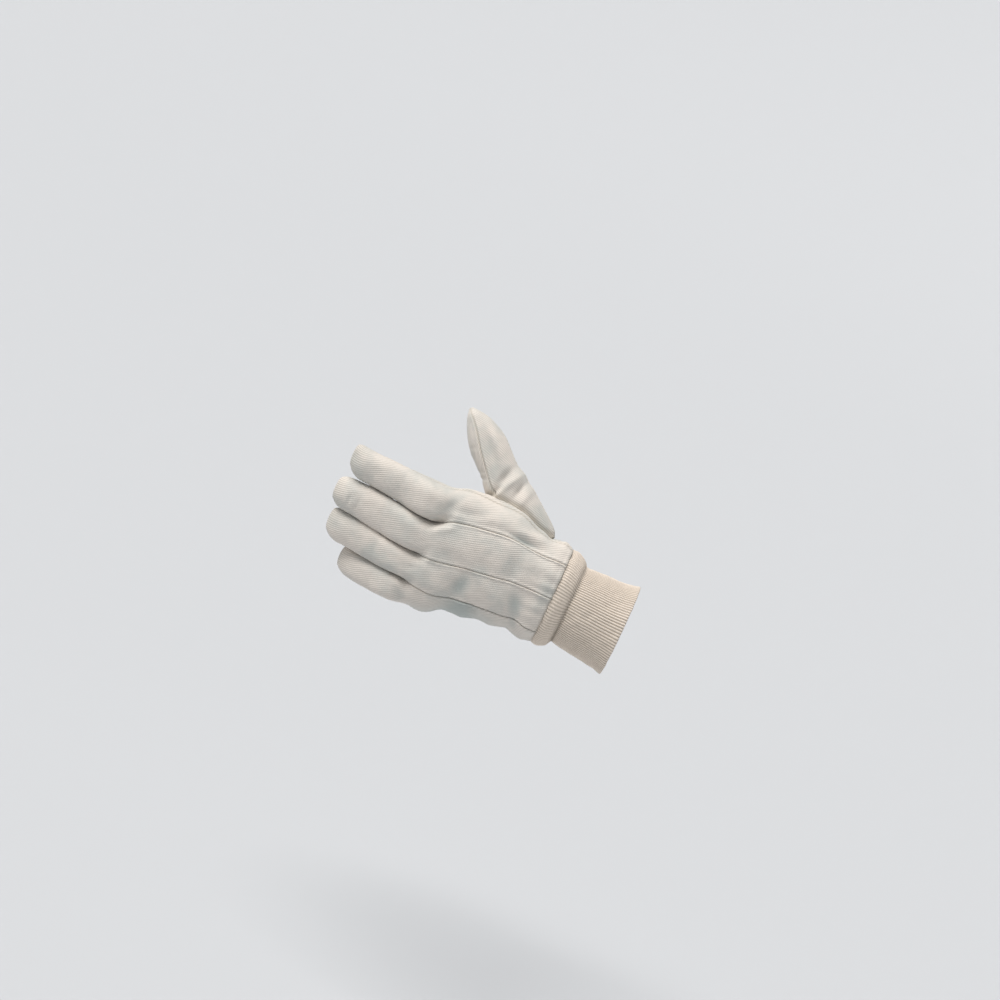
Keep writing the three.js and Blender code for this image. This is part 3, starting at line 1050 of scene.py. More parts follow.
@dataclass
class Strips:
    """The cloth strips of the fingers, on the back and on the palm.

    Sizes are in millimetres, and places are distances from the cuff's open end.
    """

    hand: HandForm
    thumb: ThumbForm
    seam: SeamRelief = field(default_factory=SeamRelief)
    row_step: float = 0.85
    tip_rows: int = 22
    columns: int = 46
    edge_crowding: float = 0.62
    cloth: float = 1.3
    chart_step: float = 31.0
    puff_lead: float = 4.0
    puff_reach: float = 14.0
    pinned: float = 3.0
    side_offset: float = 13.0
    slow_spans: tuple[float, float, float] = (26.0, 15.0, 13.0)
    slow_height: float = 0.8
    quick_spans: tuple[float, float, float] = (7.5, 6.0, 6.0)
    quick_height: float = 0.17
    joints: tuple[tuple[float, float], ...] = ((0.36, 1.0), (0.44, 0.55), (0.7, 1.0), (0.76, 0.55))
    joint_width: float = 1.6
    joint_sway: float = 1.2
    joint_sway_span: float = 5.0
    palm_joint_depth: float = 0.9
    back_joint_depth: float = 0.12
    gather_reach: float = 26.0
    gather_height: float = 0.42
    gather_step: float = 1.55
    gather_sway: float = 2.2
    wrist_radius: float = 31.0
    wrist_centre: float = 4.0
    wrist_swell: float = 0.9
    wrist_swell_place: float = 7.0
    wrist_swell_width: float = 5.0
    wrist_seam_share: float = 0.8
    welted_places: tuple[float, float] = (128.0, 150.0)
    joined_reach: tuple[float, float] = (-14.0, -4.0)
    border_seam_share: float = 0.5
    finger_seam_share: float = 0.2
    finger_seam_reach: float = 8.0
    crotch_width: float = 9.0
    # Painted shade in the crotch pits, and a warm darkening beside the crotch of the index and middle
    # fingers.
    pit_shade: float = 0.85
    crotch_darkening: float = 0.45
    tip_soil: float = 0.22
    tip_soil_reach: float = 10.0
    welt_height: float = 1.0
    welt_place: float = 1.8
    welt_width: float = 1.5
    corner_puff: float = 2.4
    corner_place: float = 67.0
    corner_width: float = 5.2
    corner_reach: float = 8.0
    notch_share: float = 0.8
    notch_place: float = 79.5
    notch_width: float = 4.0
    thumb_fillet: float = 1.1
    thumb_fillet_width: float = 4.5
    thumb_seam_depth: float = 1.0
    thumb_hole: float = 2.4
    hem_height: float = 0.75
    hem_width: float = 1.3
    hem_reach: tuple[float, float] = (-12.0, 4.0)
    hem_inset: float = 3.2
    hem_inset_at_tip: float = 1.2
    hem_turn: tuple[float, float] = (140.0, 166.0)
    hem_groove: float = 0.6
    hem_groove_place: float = 2.2
    hem_start: float = 74.0
    hem_end: float = 150.0
    stitch_step: float = 2.5
    stitch_rows: tuple[float, float] = (-1.5, 1.5)
    # Grey painted shade on the back: in its dents, and on the little finger's strip towards its lower
    # edge.
    low_shade_place: float = 121.0
    low_shade_reach: float = 15.0
    dent_shade_depth: float = 0.3
    dent_shade_rate: float = 0.3
    shade_most: float = 0.85
    edge_shade_width: float = 14.0
    edge_shade_places: tuple[float, float] = (150.0, 168.0)
    hem_rows: list[list[tuple[Vector, Vector]]] = field(default_factory=list)

    def places(self, start: float, tip: float) -> list[float]:
        """Return the rows' places, closer where the tip rounds.

        Args:
            start: the first row's place.
            tip: the fingertip's place.

        Returns:
            The places in order.
        """
        straight_end = tip - self.hand.tip_round
        count = max(int((straight_end - start) / self.row_step), 1)
        rows = [lerp(start, straight_end, i / count) for i in range(count + 1)]
        turns = [math.pi / 2 * i / self.tip_rows for i in range(1, self.tip_rows + 1)]
        return rows + [straight_end + self.hand.tip_round * math.sin(turn) for turn in turns]

    def hem_line(self, place: float) -> float:
        """Return how far the hem beside the thumb lies from the strip's edge."""
        return lerp(self.hem_inset, self.hem_inset_at_tip, smoothstep(place, *self.hem_turn))

    def row(self, side: Side, index: int, place: float) -> list[tuple[Vector, Vector, float]]:
        """Return one row across a strip, in millimetres.

        Args:
            side: the side of the hand.
            index: the finger's number from the thumb's side.
            place: the row's place along the glove.

        Returns:
            For each column its point, the form's outward direction there, and how far the
            cloth has left the hand for the finger, from 0 to 1.
        """
        hand = self.hand
        finger = hand.fingers[index]
        tip = hand.crotch_line + finger.length
        along = min((place - hand.wrist) / hand.palm_length, 1.0)
        centre, half, depth = hand.section(along)
        past = max(place - hand.crotch_line, 0.0) / finger.length
        end = min(max((place - tip + hand.tip_round) / hand.tip_round, 0.0), 1.0)
        blunt = hand.tip_power
        narrowing = lerp(hand.tip_flat, 1.0, (1.0 - end**blunt) ** (1.0 / blunt))
        rounding = math.sqrt(max(1.0 - end * end, 0.0))
        edges = [hand.edge(index, seam, place) for seam in (index, index + 1)]
        loose = []
        for seam in (index, index + 1):
            stop, _ = hand.crotch(seam)
            loose.append(smoothstep(place, stop - hand.web_length, stop))
        angles = [hand.seam_angle(side, seam, along) for seam in (index, index + 1)]
        middle = (edges[0] + edges[1]) / 2 + end * end * finger.lean * finger.width
        finger_half = (edges[0] - edges[1]) / 2 * narrowing
        base_depth = min(hand.knuckle_depth / 2, depth)
        thinned = smoothstep(past, 0.0, hand.thinned_share)
        full_depth = lerp(base_depth, hand.finger_depth / 2, thinned)
        finger_depth = full_depth * rounding + hand.tip_wall
        bend = finger.curl * finger.length * past * past
        bend -= finger.lift * smoothstep(past, 0.0, hand.lifted_share)
        round_share = smoothstep(past, *hand.pressed_shares)
        power = lerp(hand.pressed_power, hand.finger_power, round_share)
        puff_from, puff_to = hand.wrist - self.puff_lead, hand.wrist + self.puff_reach
        points = []
        for share in crowded(self.columns, self.edge_crowding):
            angle = lerp(angles[0], angles[1], share)
            flat_z, flat_y = oval(half, depth, angle, hand.hand_power)
            swell = hand.puff * max(math.sin(math.pi * share), 0.0)
            swell *= smoothstep(place, puff_from, puff_to)
            tube_z, tube_y = oval(finger_half, finger_depth, math.pi * share, power)
            free = lerp(loose[0], loose[1], share)
            z = lerp(centre + flat_z, middle + tube_z, free)
            y = lerp(abs(flat_y) + swell, tube_y, free)
            flat_out = oval_normal(half, depth, flat_z, abs(flat_y), hand.hand_power)
            tube_out = oval_normal(finger_half, full_depth, tube_z, tube_y, power)
            tube_out = tube_out * rounding + Vector((-end * end, 0.0, 0.0))
            out = flat_out.lerp(tube_out, smoothstep(free, 0.9, 1.0))
            out.y *= side.value
            dome = hand.tip_dome * end * end * math.sin(math.pi * share)
            point = Vector((-place - dome, side.value * y + bend, z))
            points.append((point, out.normalized(), free))
        return points

    def creases(self, side: Side, index: int, point: Vector) -> tuple[float, float]:
        """Return the rise of the cloth's folds at a point.

        Args:
            side: the side of the hand.
            index: the finger's number.
            point: the smooth form's point in millimetres.

        Returns:
            The rise of the large folds and that of the cloth's own small unevenness.
        """
        hand = self.hand
        place = -point.x
        offset = self.side_offset * side.value
        here = (place, point.y, point.z)
        slow = Vector([value / span for value, span in zip(here, self.slow_spans)])
        quick = Vector([value / span for value, span in zip(here, self.quick_spans)])
        small = self.slow_height * noise.noise(slow + Vector((0.0, 0.0, offset)))
        small += self.quick_height * noise.noise(quick + Vector((0.0, offset, 0.0)))
        finger = hand.fingers[index]
        past = (place - hand.crotch_line) / finger.length
        if past > 0.0:
            depth = self.palm_joint_depth if side is Side.PALM else self.back_joint_depth
            across = Vector((point.z, point.y, 0.0)) / self.joint_sway_span
            sway = self.joint_sway * noise.noise(across + Vector((0.0, 0.0, index + offset)))
            for joint, share in self.joints:
                away = (past - joint) * finger.length + sway
                small -= depth * bump(away, self.joint_width) * share
        large = sum(fold.rise(place, point.z) for fold in PANEL_FOLDS[side])
        gather = 1.0 - smoothstep(place, hand.wrist, hand.wrist + self.gather_reach)
        around = math.atan2(point.y, point.z - self.wrist_centre) * self.wrist_radius
        swing = self.gather_sway * noise.noise(slow)
        large += gather * self.gather_height * math.sin(around / self.gather_step + swing)
        swell_place = hand.wrist + self.wrist_swell_place
        large += self.wrist_swell * bump(place - swell_place, self.wrist_swell_width)
        return large, small

    def long_seams(
        self, side: Side, index: int, place: float, gaps: Sequence[float], joined: Sequence[bool]
    ) -> tuple[float, float]:
        """Return the relief of a strip's two long seams at a place.

        Args:
            side: the side of the hand.
            index: the finger's number.
            place: the place along the glove.
            gaps: distances from the strip's two edges.
            joined: whether each edge has no seam in the palm, where two strips are one cloth.

        Returns:
            The rise in millimetres and the painted shade from 0 to 1.
        """
        rise = shade_and_soil = 0.0
        for end, distance in enumerate(gaps):
            seam = index + end
            border = seam in (0, len(self.hand.fingers))
            past = place - self.hand.crotch(seam)[0]
            kept = smoothstep(past, *self.joined_reach) if joined[end] else 1.0
            on_finger = self.border_seam_share if border else self.finger_seam_share
            kept *= lerp(1.0, on_finger, smoothstep(past, 0.0, self.finger_seam_reach))
            kept *= 1.0 if border else 1.0 - bump(past, self.crotch_width)
            welted = 0.0
            if end == 0 and index:
                welted = 1.0 - smoothstep(place, *self.welted_places)
            rise += kept * self.seam.height(distance, place + 1.5 * index, welted)
            shade_and_soil = max(shade_and_soil, kept * self.seam.shade_and_soil_mask(distance, welted))
            # Painted shade in the crotch pit, and a warm darkening beside the index and middle crotch.
            if not border:
                shade_and_soil = max(shade_and_soil, self.pit_shade * bump(past + 1.0, 4.0) * bump(distance, 2.4))
            if side is Side.BACK and seam == 1:
                near_seam = bump(distance - 1.5, 2.6)
                shade_and_soil = max(shade_and_soil, self.crotch_darkening * bump(past + 7.0, 5.0) * near_seam)
        return rise, shade_and_soil

    def cross_seams(
        self, side: Side, index: int, point: Vector, near: float
    ) -> tuple[float, float]:
        """Return the relief of the hem, the welt and the seams at the thumb and the wrist.

        Args:
            side: the side of the hand.
            index: the finger's number.
            point: the smooth form's point.
            near: distance from the strip's edge on the thumb's side.

        Returns:
            The rise in millimetres and the painted shade from 0 to 1.
        """
        place = -point.x
        at_wrist = place - self.hand.wrist
        rise = self.wrist_seam_share * self.seam.height(at_wrist, near)
        shades_and_soils = [self.seam.shade_and_soil_mask(at_wrist)]
        if side is Side.BACK and index == 0:
            past = place - self.hand.crotch(0)[0]
            hem = 1.0 - smoothstep(past, *self.hem_reach)
            away = near - self.hem_line(place)
            rise += hem * self.hem_height * bump(away, self.hem_width)
            rise -= hem * self.hem_groove * bump(away - self.hem_groove_place, 0.5)
            shades_and_soils.append(hem * 0.5 * bump(away - self.hem_groove_place, 0.8))
        if side is Side.PALM and index == 1:
            from_welt = place - self.hand.crotch_line
            rise += self.welt_height * bump(from_welt - self.welt_place, self.welt_width)
            rise += self.seam.height(abs(from_welt), near)
            shades_and_soils.append(self.seam.shade_and_soil_mask(abs(from_welt)))
        beside = max(self.thumb.outside(point), 0.0)
        rise += self.thumb_fillet * bump(beside, self.thumb_fillet_width)
        rise -= self.thumb_seam_depth * bump(beside, 1.0)
        shades_and_soils.append(0.5 * bump(beside, 0.9))
        if index == 0:
            puff = bump(place - self.corner_place, self.corner_width)
            puff -= self.notch_share * bump(place - self.notch_place, self.notch_width)
            rise += self.corner_puff * puff * bump(near, self.corner_reach)
        return rise, max(shades_and_soils)

    def grey_patch_and_shade(self, index: int, place: float, far: float, large: float) -> float:
        """Return the grey painted shade of the back's cloth, most in its dents and at its lower edge.

        Args:
            index: the finger's number.
            place: the place along the glove.
            far: distance from the strip's edge on the little finger's side.
            large: rise of the large folds.

        Returns:
            The painted shade, 0 where none is painted.
        """
        grey_patch_and_shade = self.dent_shade_rate * (-large - self.dent_shade_depth)
        if index == len(self.hand.fingers) - 1:
            edge = bump(far, self.edge_shade_width)
            edge *= 1.0 - smoothstep(place, *self.edge_shade_places)
            spot = bump(place - self.low_shade_place, self.low_shade_reach)
            grey_patch_and_shade = max(grey_patch_and_shade, 0.8 * spot + 0.6 * edge)
        return min(max(grey_patch_and_shade, 0.0), self.shade_most)

    def sheet(
        self, side: Side, index: int, start: float, joined: tuple[bool, bool] = (False, False)
    ) -> bmesh.types.BMesh:
        """Make one strip as a bent sheet with its seams, folds, soiled tip and painted shade.

        Args:
            side: the side of the hand.
            index: the finger's number.
            start: the first row's place.
            joined: whether each edge has no seam in the palm, where two strips are one cloth.

        Returns:
            The strip's mesh in millimetres.
        """
        hand = self.hand
        fingertip = hand.crotch_line + hand.fingers[index].length
        places = self.places(start, fingertip)
        grid = [self.row(side, index, place) for place in places]
        spans = [distances([point for point, _, _ in points]) for points in grid]

        def chart(row: int, column: int) -> tuple[float, float]:
            """Return a vertex's place on the strip's flat cut."""
            near, far = spans[row][column]
            return places[row], (near - far) / 2 + self.chart_step * index

        bm = cloth_grid(len(places) - 1, self.columns, lambda r, c: grid[r][c][0], chart)
        face_towards(bm, lambda _: Vector((0.0, side.value, 0.0)))
        shade_and_soil_mask = bm.verts.layers.float["shade_and_soil_mask"]
        dent = bm.verts.layers.float.new("dent")
        borders = (index == 0, index == len(hand.fingers) - 1)
        lifts: list[tuple[bmesh.types.BMVert, Vector]] = []
        for vert, row, column in cells(bm, self.columns):
            place, gaps = places[row], spans[row][column]
            point, out, free = grid[row][column]
            tip = max(fingertip - place, 0.0) * 1.6
            pin = smoothstep(tip, 0.0, self.pinned)
            for border, distance in zip(borders, gaps):
                tie = 1.0 if border else free
                pin = min(pin, 1.0 - tie * (1.0 - smoothstep(distance, 0.0, self.pinned)))
            large, small = self.creases(side, index, point)
            rise = large * lerp(1.0, pin, free) + small * pin
            # Soiling at the fingertip, and painted shade in the seam round the tip.
            shade_and_soil = max(self.tip_soil * bump(tip, self.tip_soil_reach), self.seam.shade_and_soil_mask(tip + 0.2))
            rise += self.seam.height(tip + 0.3, gaps[0])
            for added, shade_and_dirt in (
                self.long_seams(side, index, place, gaps, joined),
                self.cross_seams(side, index, point, gaps[0]),
            ):
                rise += added
                shade_and_soil = max(shade_and_soil, shade_and_dirt)
            at_edge = smoothstep(min(tip, *gaps), 0.0, self.pinned)
            lifts.append((vert, out.lerp(vert.normal, at_edge).normalized() * rise))
            vert[shade_and_soil_mask] = shade_and_soil
            # Grey painted shade in the back's dents and along its lower edge.
            if side is Side.BACK:
                vert[dent] = self.grey_patch_and_shade(index, place, gaps[1], large)
        for vert, lift in lifts:
            vert.co += lift
        bm.normal_update()
        if side is Side.BACK and index == 0:
            verts = [vert for vert, _ in lifts]
            for offset in self.stitch_rows:
                self.hem_rows.append(self.trace(verts, places, spans, offset))
        return bm

    def trace(
        self,
        verts: Sequence[bmesh.types.BMVert],
        places: Sequence[float],
        spans: Sequence[Spans],
        offset: float,
    ) -> list[tuple[Vector, Vector]]:
        """Follow the hem over the bent cloth of the index strip.

        Args:
            verts: the strip's vertices, row by row.
            places: the rows' places.
            spans: the columns' distances from the strip's two edges in each row.
            offset: distance from the hem's crest.

        Returns:
            Points on the cloth with their outward directions, a stitch's length apart.
        """
        found: list[tuple[Vector, Vector]] = []
        last = -math.inf
        for row, place in enumerate(places):
            if not self.hem_start < place < self.hem_end or place - last < self.stitch_step:
                continue
            last = place
            target = self.hem_line(place) + offset
            nears = [near for near, _ in spans[row]]
            column = next(i for i in range(len(nears) - 1) if nears[i + 1] > max(target, 0.0))
            share = (target - nears[column]) / (nears[column + 1] - nears[column])
            here = verts[row * len(nears) + column]
            there = verts[row * len(nears) + column + 1]
            found.append((here.co.lerp(there.co, share), here.normal.lerp(there.normal, share)))
        return found

    def sew(self, name: str, bm: bmesh.types.BMesh, cloth: bpy.types.Material) -> None:
        """Make a sheet the piece that dresses a node of the same name."""
        finish_piece(f"{name}_cloth", bm, cloth, [name], self.cloth)

    def build(self, back: bpy.types.Material, palm: bpy.types.Material) -> None:
        """Build all strips and give them their cloth.

        Args:
            back: cloth of the back's strips.
            palm: cloth of the palm's strips.
        """
        hand = self.hand
        start = hand.wrist - 0.5
        for index, finger in enumerate(hand.fingers):
            self.sew(f"back_{finger.name}", self.sheet(Side.BACK, index, start), back)
        side = self.sheet(Side.PALM, 0, start)
        hole = -self.thumb_hole
        inside = [f for f in side.faces if self.thumb.outside(f.calc_center_median()) < hole]
        bmesh.ops.delete(side, geom=inside, context="FACES")
        self.sew("palm_thumb_side", side, palm)
        centre = self.sheet(Side.PALM, 1, start)
        front = centre.copy()
        upper = [f for f in centre.faces if -f.calc_center_median().x > hand.crotch_line]
        lower = [f for f in front.faces if -f.calc_center_median().x <= hand.crotch_line]
        bmesh.ops.delete(centre, geom=upper, context="FACES")
        bmesh.ops.delete(front, geom=lower, context="FACES")
        self.sew("palm_centre", centre, palm)
        self.sew("middle_finger_front", front, palm)
        outer = self.sheet(Side.PALM, 2, start, (False, True))
        little = self.sheet(Side.PALM, 3, start, (True, False))
        mesh = smooth_mesh("little_front", little)
        outer.from_mesh(mesh)
        bpy.data.meshes.remove(mesh)
        bmesh.ops.remove_doubles(outer, verts=outer.verts[:], dist=0.02)
        self.sew("palm_outer", outer, palm)


@dataclass
class Stitching:
    """The two rows of sewing thread along the hem beside the thumb."""

    length: float = 1.9
    thickness: float = 0.34
    sink: float = 0.02

    def build(
        self, rows: Sequence[Sequence[tuple[Vector, Vector]]], thread: bpy.types.Material
    ) -> None:
        """Sew a stitch between each two points of the rows.

        Args:
            rows: points on the cloth with their outward directions.
            thread: the thread's material.
        """
        bm = bmesh.new()
        half = self.thickness / 2
        size = Matrix.Diagonal((self.length / 2, half, half, 1.0))
        for points in rows:
            for (start, up), (end, _) in zip(points, points[1:]):
                along = (end - start).normalized()
                across = up.cross(along).normalized()
                out = along.cross(across)
                middle = (start + end) / 2 + out * self.sink
                turn = Matrix((along, across, out)).transposed().to_4x4()
                matrix = Matrix.Translation(middle) @ turn @ size
                bmesh.ops.create_uvsphere(bm, u_segments=8, v_segments=6, radius=1.0, matrix=matrix)
        finish_piece("hem_stitches", bm, thread)


@dataclass
class Thumb:
    """The set-in thumb, sewn from a back and a front, with sizes in millimetres."""

    hand: HandForm
    form: ThumbForm
    seam: SeamRelief = field(default_factory=SeamRelief)
    rows: int = 165
    columns: int = 64
    first: float = 0.06
    tip_crowding: float = 1.35
    edge_crowding: float = 0.6
    cloth: float = 1.3
    chart_place: float = 210.0
    chart_step: float = 40.0
    joints: tuple[tuple[float, float], ...] = ((0.56, 0.7), (0.6, 0.42), (0.76, 0.21))
    joint_width: float = 1.8
    joint_sway: float = 1.5
    slow_height: float = 0.6
    slow_spans: tuple[float, float] = (22.0, 11.0)
    quick_height: float = 0.16
    quick_spans: tuple[float, float] = (7.0, 5.5)
    pinned: float = 3.0
    fillet: float = 0.9
    fillet_width: float = 4.0
    root_seam_depth: float = 0.8
    buried: float = 3.0

    def angle(self, side: Side, along: float, share: float) -> float:
        """Return the angle on the thumb's section.

        Args:
            side: the half.
            along: share of the thumb's length.
            share: share of the half's width, from its lower to its front seam.

        Returns:
            The angle in radians.
        """
        form = self.form
        turn = lerp(form.seam_turn, form.seam_turn_at_tip, smoothstep(along, 0.5, 0.95))
        return side.value * (math.pi + side.value * turn) * share

    def relief(
        self, side: Side, point: Vector, along: float, gaps: tuple[float, float]
    ) -> tuple[float, float, float]:
        """Return the relief of the thumb's cloth.

        Args:
            side: the half.
            point: the smooth form's point.
            along: its share of the thumb's length.
            gaps: distances from the half's two seams.

        Returns:
            The rise, the painted shade from 0 to 1, and how free of the seams the cloth is, 0 to 1.
        """
        form = self.form
        ahead = along * form.length
        offset = point - form.root
        across = offset.dot(form.across)
        facing = min(max(1.0 - offset.dot(form.out) / 6.0, 0.0), 1.0)
        rise = facing * sum(fold.rise(ahead, across) for fold in THUMB_FOLDS)
        pin = smoothstep(min(gaps), 0.0, self.pinned)
        if side is Side.PALM:
            for joint, depth in self.joints:
                sway = self.joint_sway * noise.noise(Vector((across / 6.0, 3.0, joint)))
                rise -= pin * depth * bump(ahead - joint * form.length + sway, self.joint_width)
        for height, (long, wide), offset in (
            (self.slow_height, self.slow_spans, 5.0),
            (self.quick_height, self.quick_spans, 9.0),
        ):
            here = Vector((ahead / long, across / wide, offset * side.value))
            rise += pin * height * noise.noise(here)
        rise += sum(self.seam.height(distance, ahead) for distance in gaps)
        base = max(-self.hand.inside(point) - self.cloth, 0.0)
        rise += self.fillet * bump(base, self.fillet_width)
        rise -= self.root_seam_depth * bump(base, 1.0)
        # Painted shade in the seams and where the thumb meets the hand.
        shade_and_soil = max(self.seam.shade_and_soil_mask(min(gaps)), 0.5 * bump(base, 0.9))
        return rise * (1.0 - smoothstep(along, 0.9, 1.0)), shade_and_soil, pin

    def half(self, side: Side) -> bmesh.types.BMesh:
        """Make one half of the thumb as a bent sheet.

        Args:
            side: the half to make.

        Returns:
            The half's mesh in millimetres.
        """
        form = self.form
        shares = crowded(self.columns, self.edge_crowding)
        steps = [(1.0 - i / self.rows) ** self.tip_crowding for i in range(self.rows + 1)]
        alongs = [self.first + (1.0 - self.first) * (1.0 - step) for step in steps]
        grid = [[form.point(t, self.angle(side, t, share)) for share in shares] for t in alongs]
        spans = [distances(points) for points in grid]
        middle = self.chart_place + self.chart_step * side.value

        def chart(row: int, column: int) -> tuple[float, float]:
            """Return a vertex's place on the half's flat cut."""
            near, far = spans[row][column]
            return alongs[row] * form.length, (near - far) / 2 + middle

        bm = cloth_grid(self.rows, self.columns, lambda r, c: grid[r][c], chart)
        face_towards(bm, lambda _: form.out * side.value)
        shade_and_soil_mask = bm.verts.layers.float["shade_and_soil_mask"]
        lifts: list[tuple[bmesh.types.BMVert, Vector]] = []
        for vert, row, column in cells(bm, self.columns):
            point = grid[row][column]
            rise, vert[shade_and_soil_mask], pin = self.relief(side, point, alongs[row], spans[row][column])
            offset = point - form.root
            radial = offset - form.axis * offset.dot(form.axis)
            direction = radial.normalized().lerp(vert.normal, pin).normalized()
            lifts.append((vert, direction * rise))
        for vert, lift in lifts:
            vert.co += lift
        inner = [f for f in bm.faces if self.hand.inside(f.calc_center_median()) > self.buried]
        bmesh.ops.delete(bm, geom=inner, context="FACES")
        return bm

    def build(self, cloth: bpy.types.Material) -> None:
        """Build both halves.

        Args:
            cloth: the thumb's cloth.
        """
        for side, name in ((Side.BACK, "thumb_back"), (Side.PALM, "thumb_front")):
            bm = self.half(side)
            finish_piece(f"{name}_cloth", bm, cloth, [name], self.cloth)


@dataclass
class Cuff:
    """The knit wrist: a straight ribbed sleeve, a crease and the puffed roll at the seam.

    Sizes are in millimetres. The profile's steps run from the open end (0) to the seam (1).
    """

    hand: HandForm
    width: float = 75.6
    depth: float = 56.0
    wall: float = 2.2
    power: float = 2.1
    ribs: int = 102
    rib_steps: int = 6
    rib_height: float = 0.58
    rib_level: float = 0.6
    rib_power: float = 0.7
    rib_spread: float = 0.15
    roll_start: float = 0.69
    roll_slope: float = 0.06
    crease_fill: float = 1.6
    crease_reach: float = 0.035
    loose: float = 0.5
    loose_span: float = 14.0
    sway: float = 0.35
    sway_span: float = 5.0
    edge_sway: float = 0.25
    outside_rows: int = 78
    inside_rows: int = 14
    edge_rows: int = 6
    profile: Table = CUFF_TABLE

    def __post_init__(self) -> None:
        """Work out the rings of the outside and the inside, and each rib's height."""
        outside = [(i / self.outside_rows, 0.0) for i in range(self.outside_rows + 1)]
        inside = [
            (1.0 - i / (self.inside_rows + 1), self.wall) for i in range(1, self.inside_rows + 1)
        ]
        self.steps = outside + inside
        self.rings = [self.outline(step) for step, _ in self.steps]
        rng = random.Random(SEED)
        self.rib_shares = [
            rng.uniform(1.0 - self.rib_spread, 1.0 + self.rib_spread) for _ in range(self.ribs)
        ]
        self.travel = [0.0]
        for before, after in zip(self.rings, self.rings[1:]):
            leg = math.hypot(after[0] - before[0], after[2] - before[2])
            self.travel.append(self.travel[-1] + leg)

    def outline(self, step: float) -> tuple[float, float, float, float]:
        """Read the profile.

        Args:
            step: 0 at the open end to 1 at the seam.

        Returns:
            The ring's place along the glove, centre, half width and half depth.
        """
        read = self.profile.read
        wrist, swell = read("wrist", step), read("swell", step)
        half = lerp(self.width, self.hand.wrist_width, wrist) * swell / 2
        depth = lerp(self.depth, self.hand.wrist_depth, wrist) * swell / 2
        place = read("along", step) * self.hand.cuff_length
        return place, read("centre", step) * self.width, half, depth

    def roll(self, step: float) -> float:
        """Return 0 on the sleeve and 1 on the roll."""
        return smoothstep(step, self.roll_start, self.roll_start + self.roll_slope)

    def point(self, row: int, column: int) -> Vector:
        """Return a point of the knit.

        Args:
            row: the ring, which starts again after the last one.
            column: the place around the ring.

        Returns:
            The point in millimetres.
        """
        row %= len(self.steps)
        along, centre, half, depth = self.rings[row]
        step, inset = self.steps[row]
        rib = column / self.rib_steps % self.ribs
        angle = TURN * column / (self.ribs * self.rib_steps)
        cos, sin = math.cos(angle), math.sin(angle)
        wave = 0.5 - 0.5 * math.cos(TURN * rib)
        relief = (wave**self.rib_power - self.rib_level) * self.rib_height
        relief *= self.rib_shares[int(rib)] * lerp(1.0, 0.8, self.roll(step))
        reach = (-relief if inset else relief) - inset
        reach += self.loose * noise.noise(Vector((along / self.loose_span, cos * 2.2, sin * 2.2)))
        reach += self.sway * noise.noise(Vector((along / self.sway_span, cos * 6.0, sin * 6.0)))
        at_crease = bump(step - self.roll_start, self.crease_reach)
        reach += self.crease_fill * max(cos, 0.0) * at_crease
        z, y = oval(half + reach, depth + reach, angle, self.power)
        at_edge = row < self.edge_rows or row > len(self.steps) - self.edge_rows / 2
        lift = noise.noise(Vector((cos * 5.0, sin * 5.0, 3.0))) if at_edge else 0.0
        return Vector((self.edge_sway * lift - along, y, centre + z))

    def build(self, knit: bpy.types.Material) -> None:
        """Build the cuff as one closed ring of knit with a rib of real relief for each wale.

        Args:
            knit: the knit's material.
        """
        rows, columns = len(self.steps), self.ribs * self.rib_steps

        def chart(row: int, column: int) -> tuple[float, float]:
            """Return a vertex's run along the knit and its count of ribs."""
            return self.travel[min(row, rows - 1)], column / self.rib_steps

        bm = cloth_grid(rows, columns, self.point, chart)
        shade_and_soil_mask = bm.verts.layers.float["shade_and_soil_mask"]
        shut = bm.verts.layers.float.new("shut")
        for vert, row, column in cells(bm, columns):
            step, inset = self.steps[row % rows]
            # Painted shade: in the crease under the roll, heavier on its lower side, inside the cuff
            # and at the seam.
            past = step - self.roll_start
            under = 0.5 - 0.5 * math.cos(TURN * column / columns)
            crease = under**1.5 * bump(past + 0.012, 0.02)
            crease += lerp(0.28, 0.45, under) * bump(past - 0.012, 0.042)
            crease += 0.3 * bump(step - 1.0, 0.012)
            vert[shade_and_soil_mask] = min(crease + (0.35 if inset else 0.0), 1.0)
            # The ribs close up on the roll, so less groove shade is painted there.
            vert[shut] = 0.35 * self.roll(step)
        bmesh.ops.remove_doubles(bm, verts=bm.verts[:], dist=0.001)
        bmesh.ops.recalc_face_normals(bm, faces=bm.faces[:])
        finish_piece("knit_cuff_ribbed", bm, knit, ["knit_cuff"])


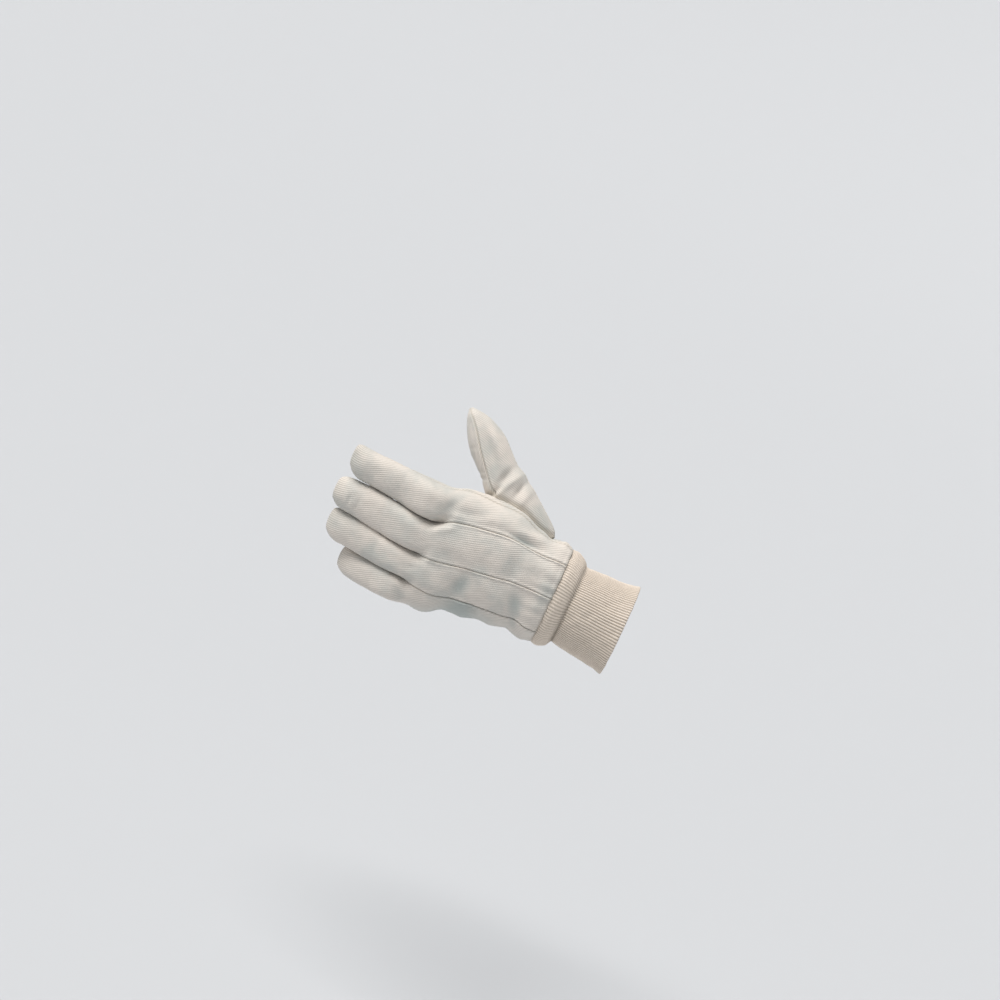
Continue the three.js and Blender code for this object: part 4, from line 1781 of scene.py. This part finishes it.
@dataclass
class Studio:
    """The floor, the lights and the camera.

    The glove's origin lies at a pixel of the picture, and a pixel there is so many millimetres.
    The lens and the sensor are in millimetres, and the floor's sizes in metres.
    """

    elevation: float = math.radians(12.0)
    roll: float = math.radians(25.0)
    pixel: float = 0.787
    origin: tuple[float, float] = (619.0, 631.0)
    middle: float = 500.0
    lens: float = 90.0
    sensor: float = 36.0
    frame: float = 1000.0
    floor_drop: float = 0.34
    floor_flat: float = 4.0
    floor_reach: float = 40.0
    floor_rise: float = 26.0
    floor_rings: int = 40
    floor_turns: int = 96
    floor_colour: Colour = (0.53, 0.545, 0.565)
    key: float = 3.95
    key_colour: Colour = (1.0, 0.975, 0.95)
    softness: float = math.radians(44.0)
    key_from: tuple[float, float, float] = (-0.44, -0.14, 0.87)
    sky: float = 0.12
    sky_colour: Colour = (0.86, 0.94, 1.0)

    def camera(self) -> None:
        """Make the camera that shows the glove's origin at its pixel in the photo's frame."""
        ahead = Vector((0.0, math.cos(self.elevation), -math.sin(self.elevation)))
        right = Vector((1.0, 0.0, 0.0))
        up = Vector((0.0, math.sin(self.elevation), math.cos(self.elevation)))
        turn = Matrix.Rotation(-self.roll, 3, ahead)
        across, rise = turn @ right, turn @ up
        scale = self.pixel * MM
        centre = across * (self.middle - self.origin[0]) * scale
        centre -= rise * (self.middle - self.origin[1]) * scale
        distance = self.lens * self.frame * scale / self.sensor
        data = bpy.data.cameras.new("camera")
        data.lens = self.lens
        data.sensor_width = self.sensor
        data.clip_end = 100.0
        camera = bpy.data.objects.new("camera", data)
        axes = Matrix((across, rise, -ahead)).transposed()
        camera.matrix_world = Matrix.Translation(centre - ahead * distance) @ axes.to_4x4()
        bpy.context.scene.collection.objects.link(camera)
        bpy.context.scene.camera = camera

    def floor(self) -> None:
        """Make the plain pale floor, which rises softly far away on all sides."""
        bm = bmesh.new()
        profile = []
        for ring in range(self.floor_rings + 1):
            reach = self.floor_reach * (ring / self.floor_rings) ** 2
            rise = self.floor_rise * smoothstep(reach, self.floor_flat, self.floor_reach) ** 1.5
            profile.append(bm.verts.new((reach, 0.0, rise)))
        edges = [bm.edges.new(pair) for pair in zip(profile, profile[1:])]
        bmesh.ops.spin(
            bm,
            geom=profile + edges,
            cent=Vector((0.0, 0.0, 0.0)),
            axis=Vector((0.0, 0.0, 1.0)),
            angle=TURN,
            steps=self.floor_turns,
            use_merge=True,
        )
        bmesh.ops.remove_doubles(bm, verts=bm.verts[:], dist=0.0001)
        bmesh.ops.translate(bm, vec=Vector((0.0, 0.0, -self.floor_drop)), verts=bm.verts[:])
        face_towards(bm, lambda _: Vector((0.0, 0.0, 1.0)))
        mesh = smooth_mesh("floor", bm)
        colour = (*self.floor_colour, 1.0)
        paint = Dye("floor_paint", Base_Color=colour, Roughness=0.9, Specular_IOR_Level=0.1)
        mesh.materials.append(paint.made)
        floor = bpy.data.objects.new("floor", mesh)
        bpy.context.scene.collection.objects.link(floor)

    def sun(self) -> None:
        """Make the large soft key light, which comes from the upper left of the picture."""
        data = bpy.data.lights.new("key", "SUN")
        data.energy = self.key
        data.angle = self.softness
        data.color = self.key_colour
        sun = bpy.data.objects.new("key", data)
        sun.rotation_euler = (-Vector(self.key_from)).to_track_quat("-Z", "Y").to_euler()
        bpy.context.scene.collection.objects.link(sun)

    def build(self) -> None:
        """Make the world, the lights, the floor and the camera."""
        world = bpy.data.worlds.new("studio")
        world.use_nodes = True
        sky = world.node_tree.nodes["Background"]
        sky.inputs["Color"].default_value = (*self.sky_colour, 1.0)
        sky.inputs["Strength"].default_value = self.sky
        scene = bpy.context.scene
        scene.world = world
        scene.view_settings.view_transform = "Standard"
        scene.view_settings.look = "None"
        self.sun()
        self.floor()
        self.camera()


def main() -> None:
    """Build the dressed glove and its studio in order."""
    logging.basicConfig(level=logging.INFO, format="%(name)s: %(message)s")
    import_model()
    hand = HandForm()
    thumb_form = ThumbForm(hand)
    back = TwillFinish("drill_back", 25.0).material()
    palm = TwillFinish("drill_palm", -25.0).material()
    thumb_cloth = TwillFinish("drill_thumb", 29.0).material()
    strips = Strips(hand, thumb_form)
    strips.build(back, palm)
    Stitching().build(strips.hem_rows, ThreadFinish().material())
    Thumb(hand, thumb_form).build(thumb_cloth)
    Cuff(hand).build(RibFinish().material())
    Studio().build()
    LOG.info("built the glove")


if __name__ == "__main__":
    main()
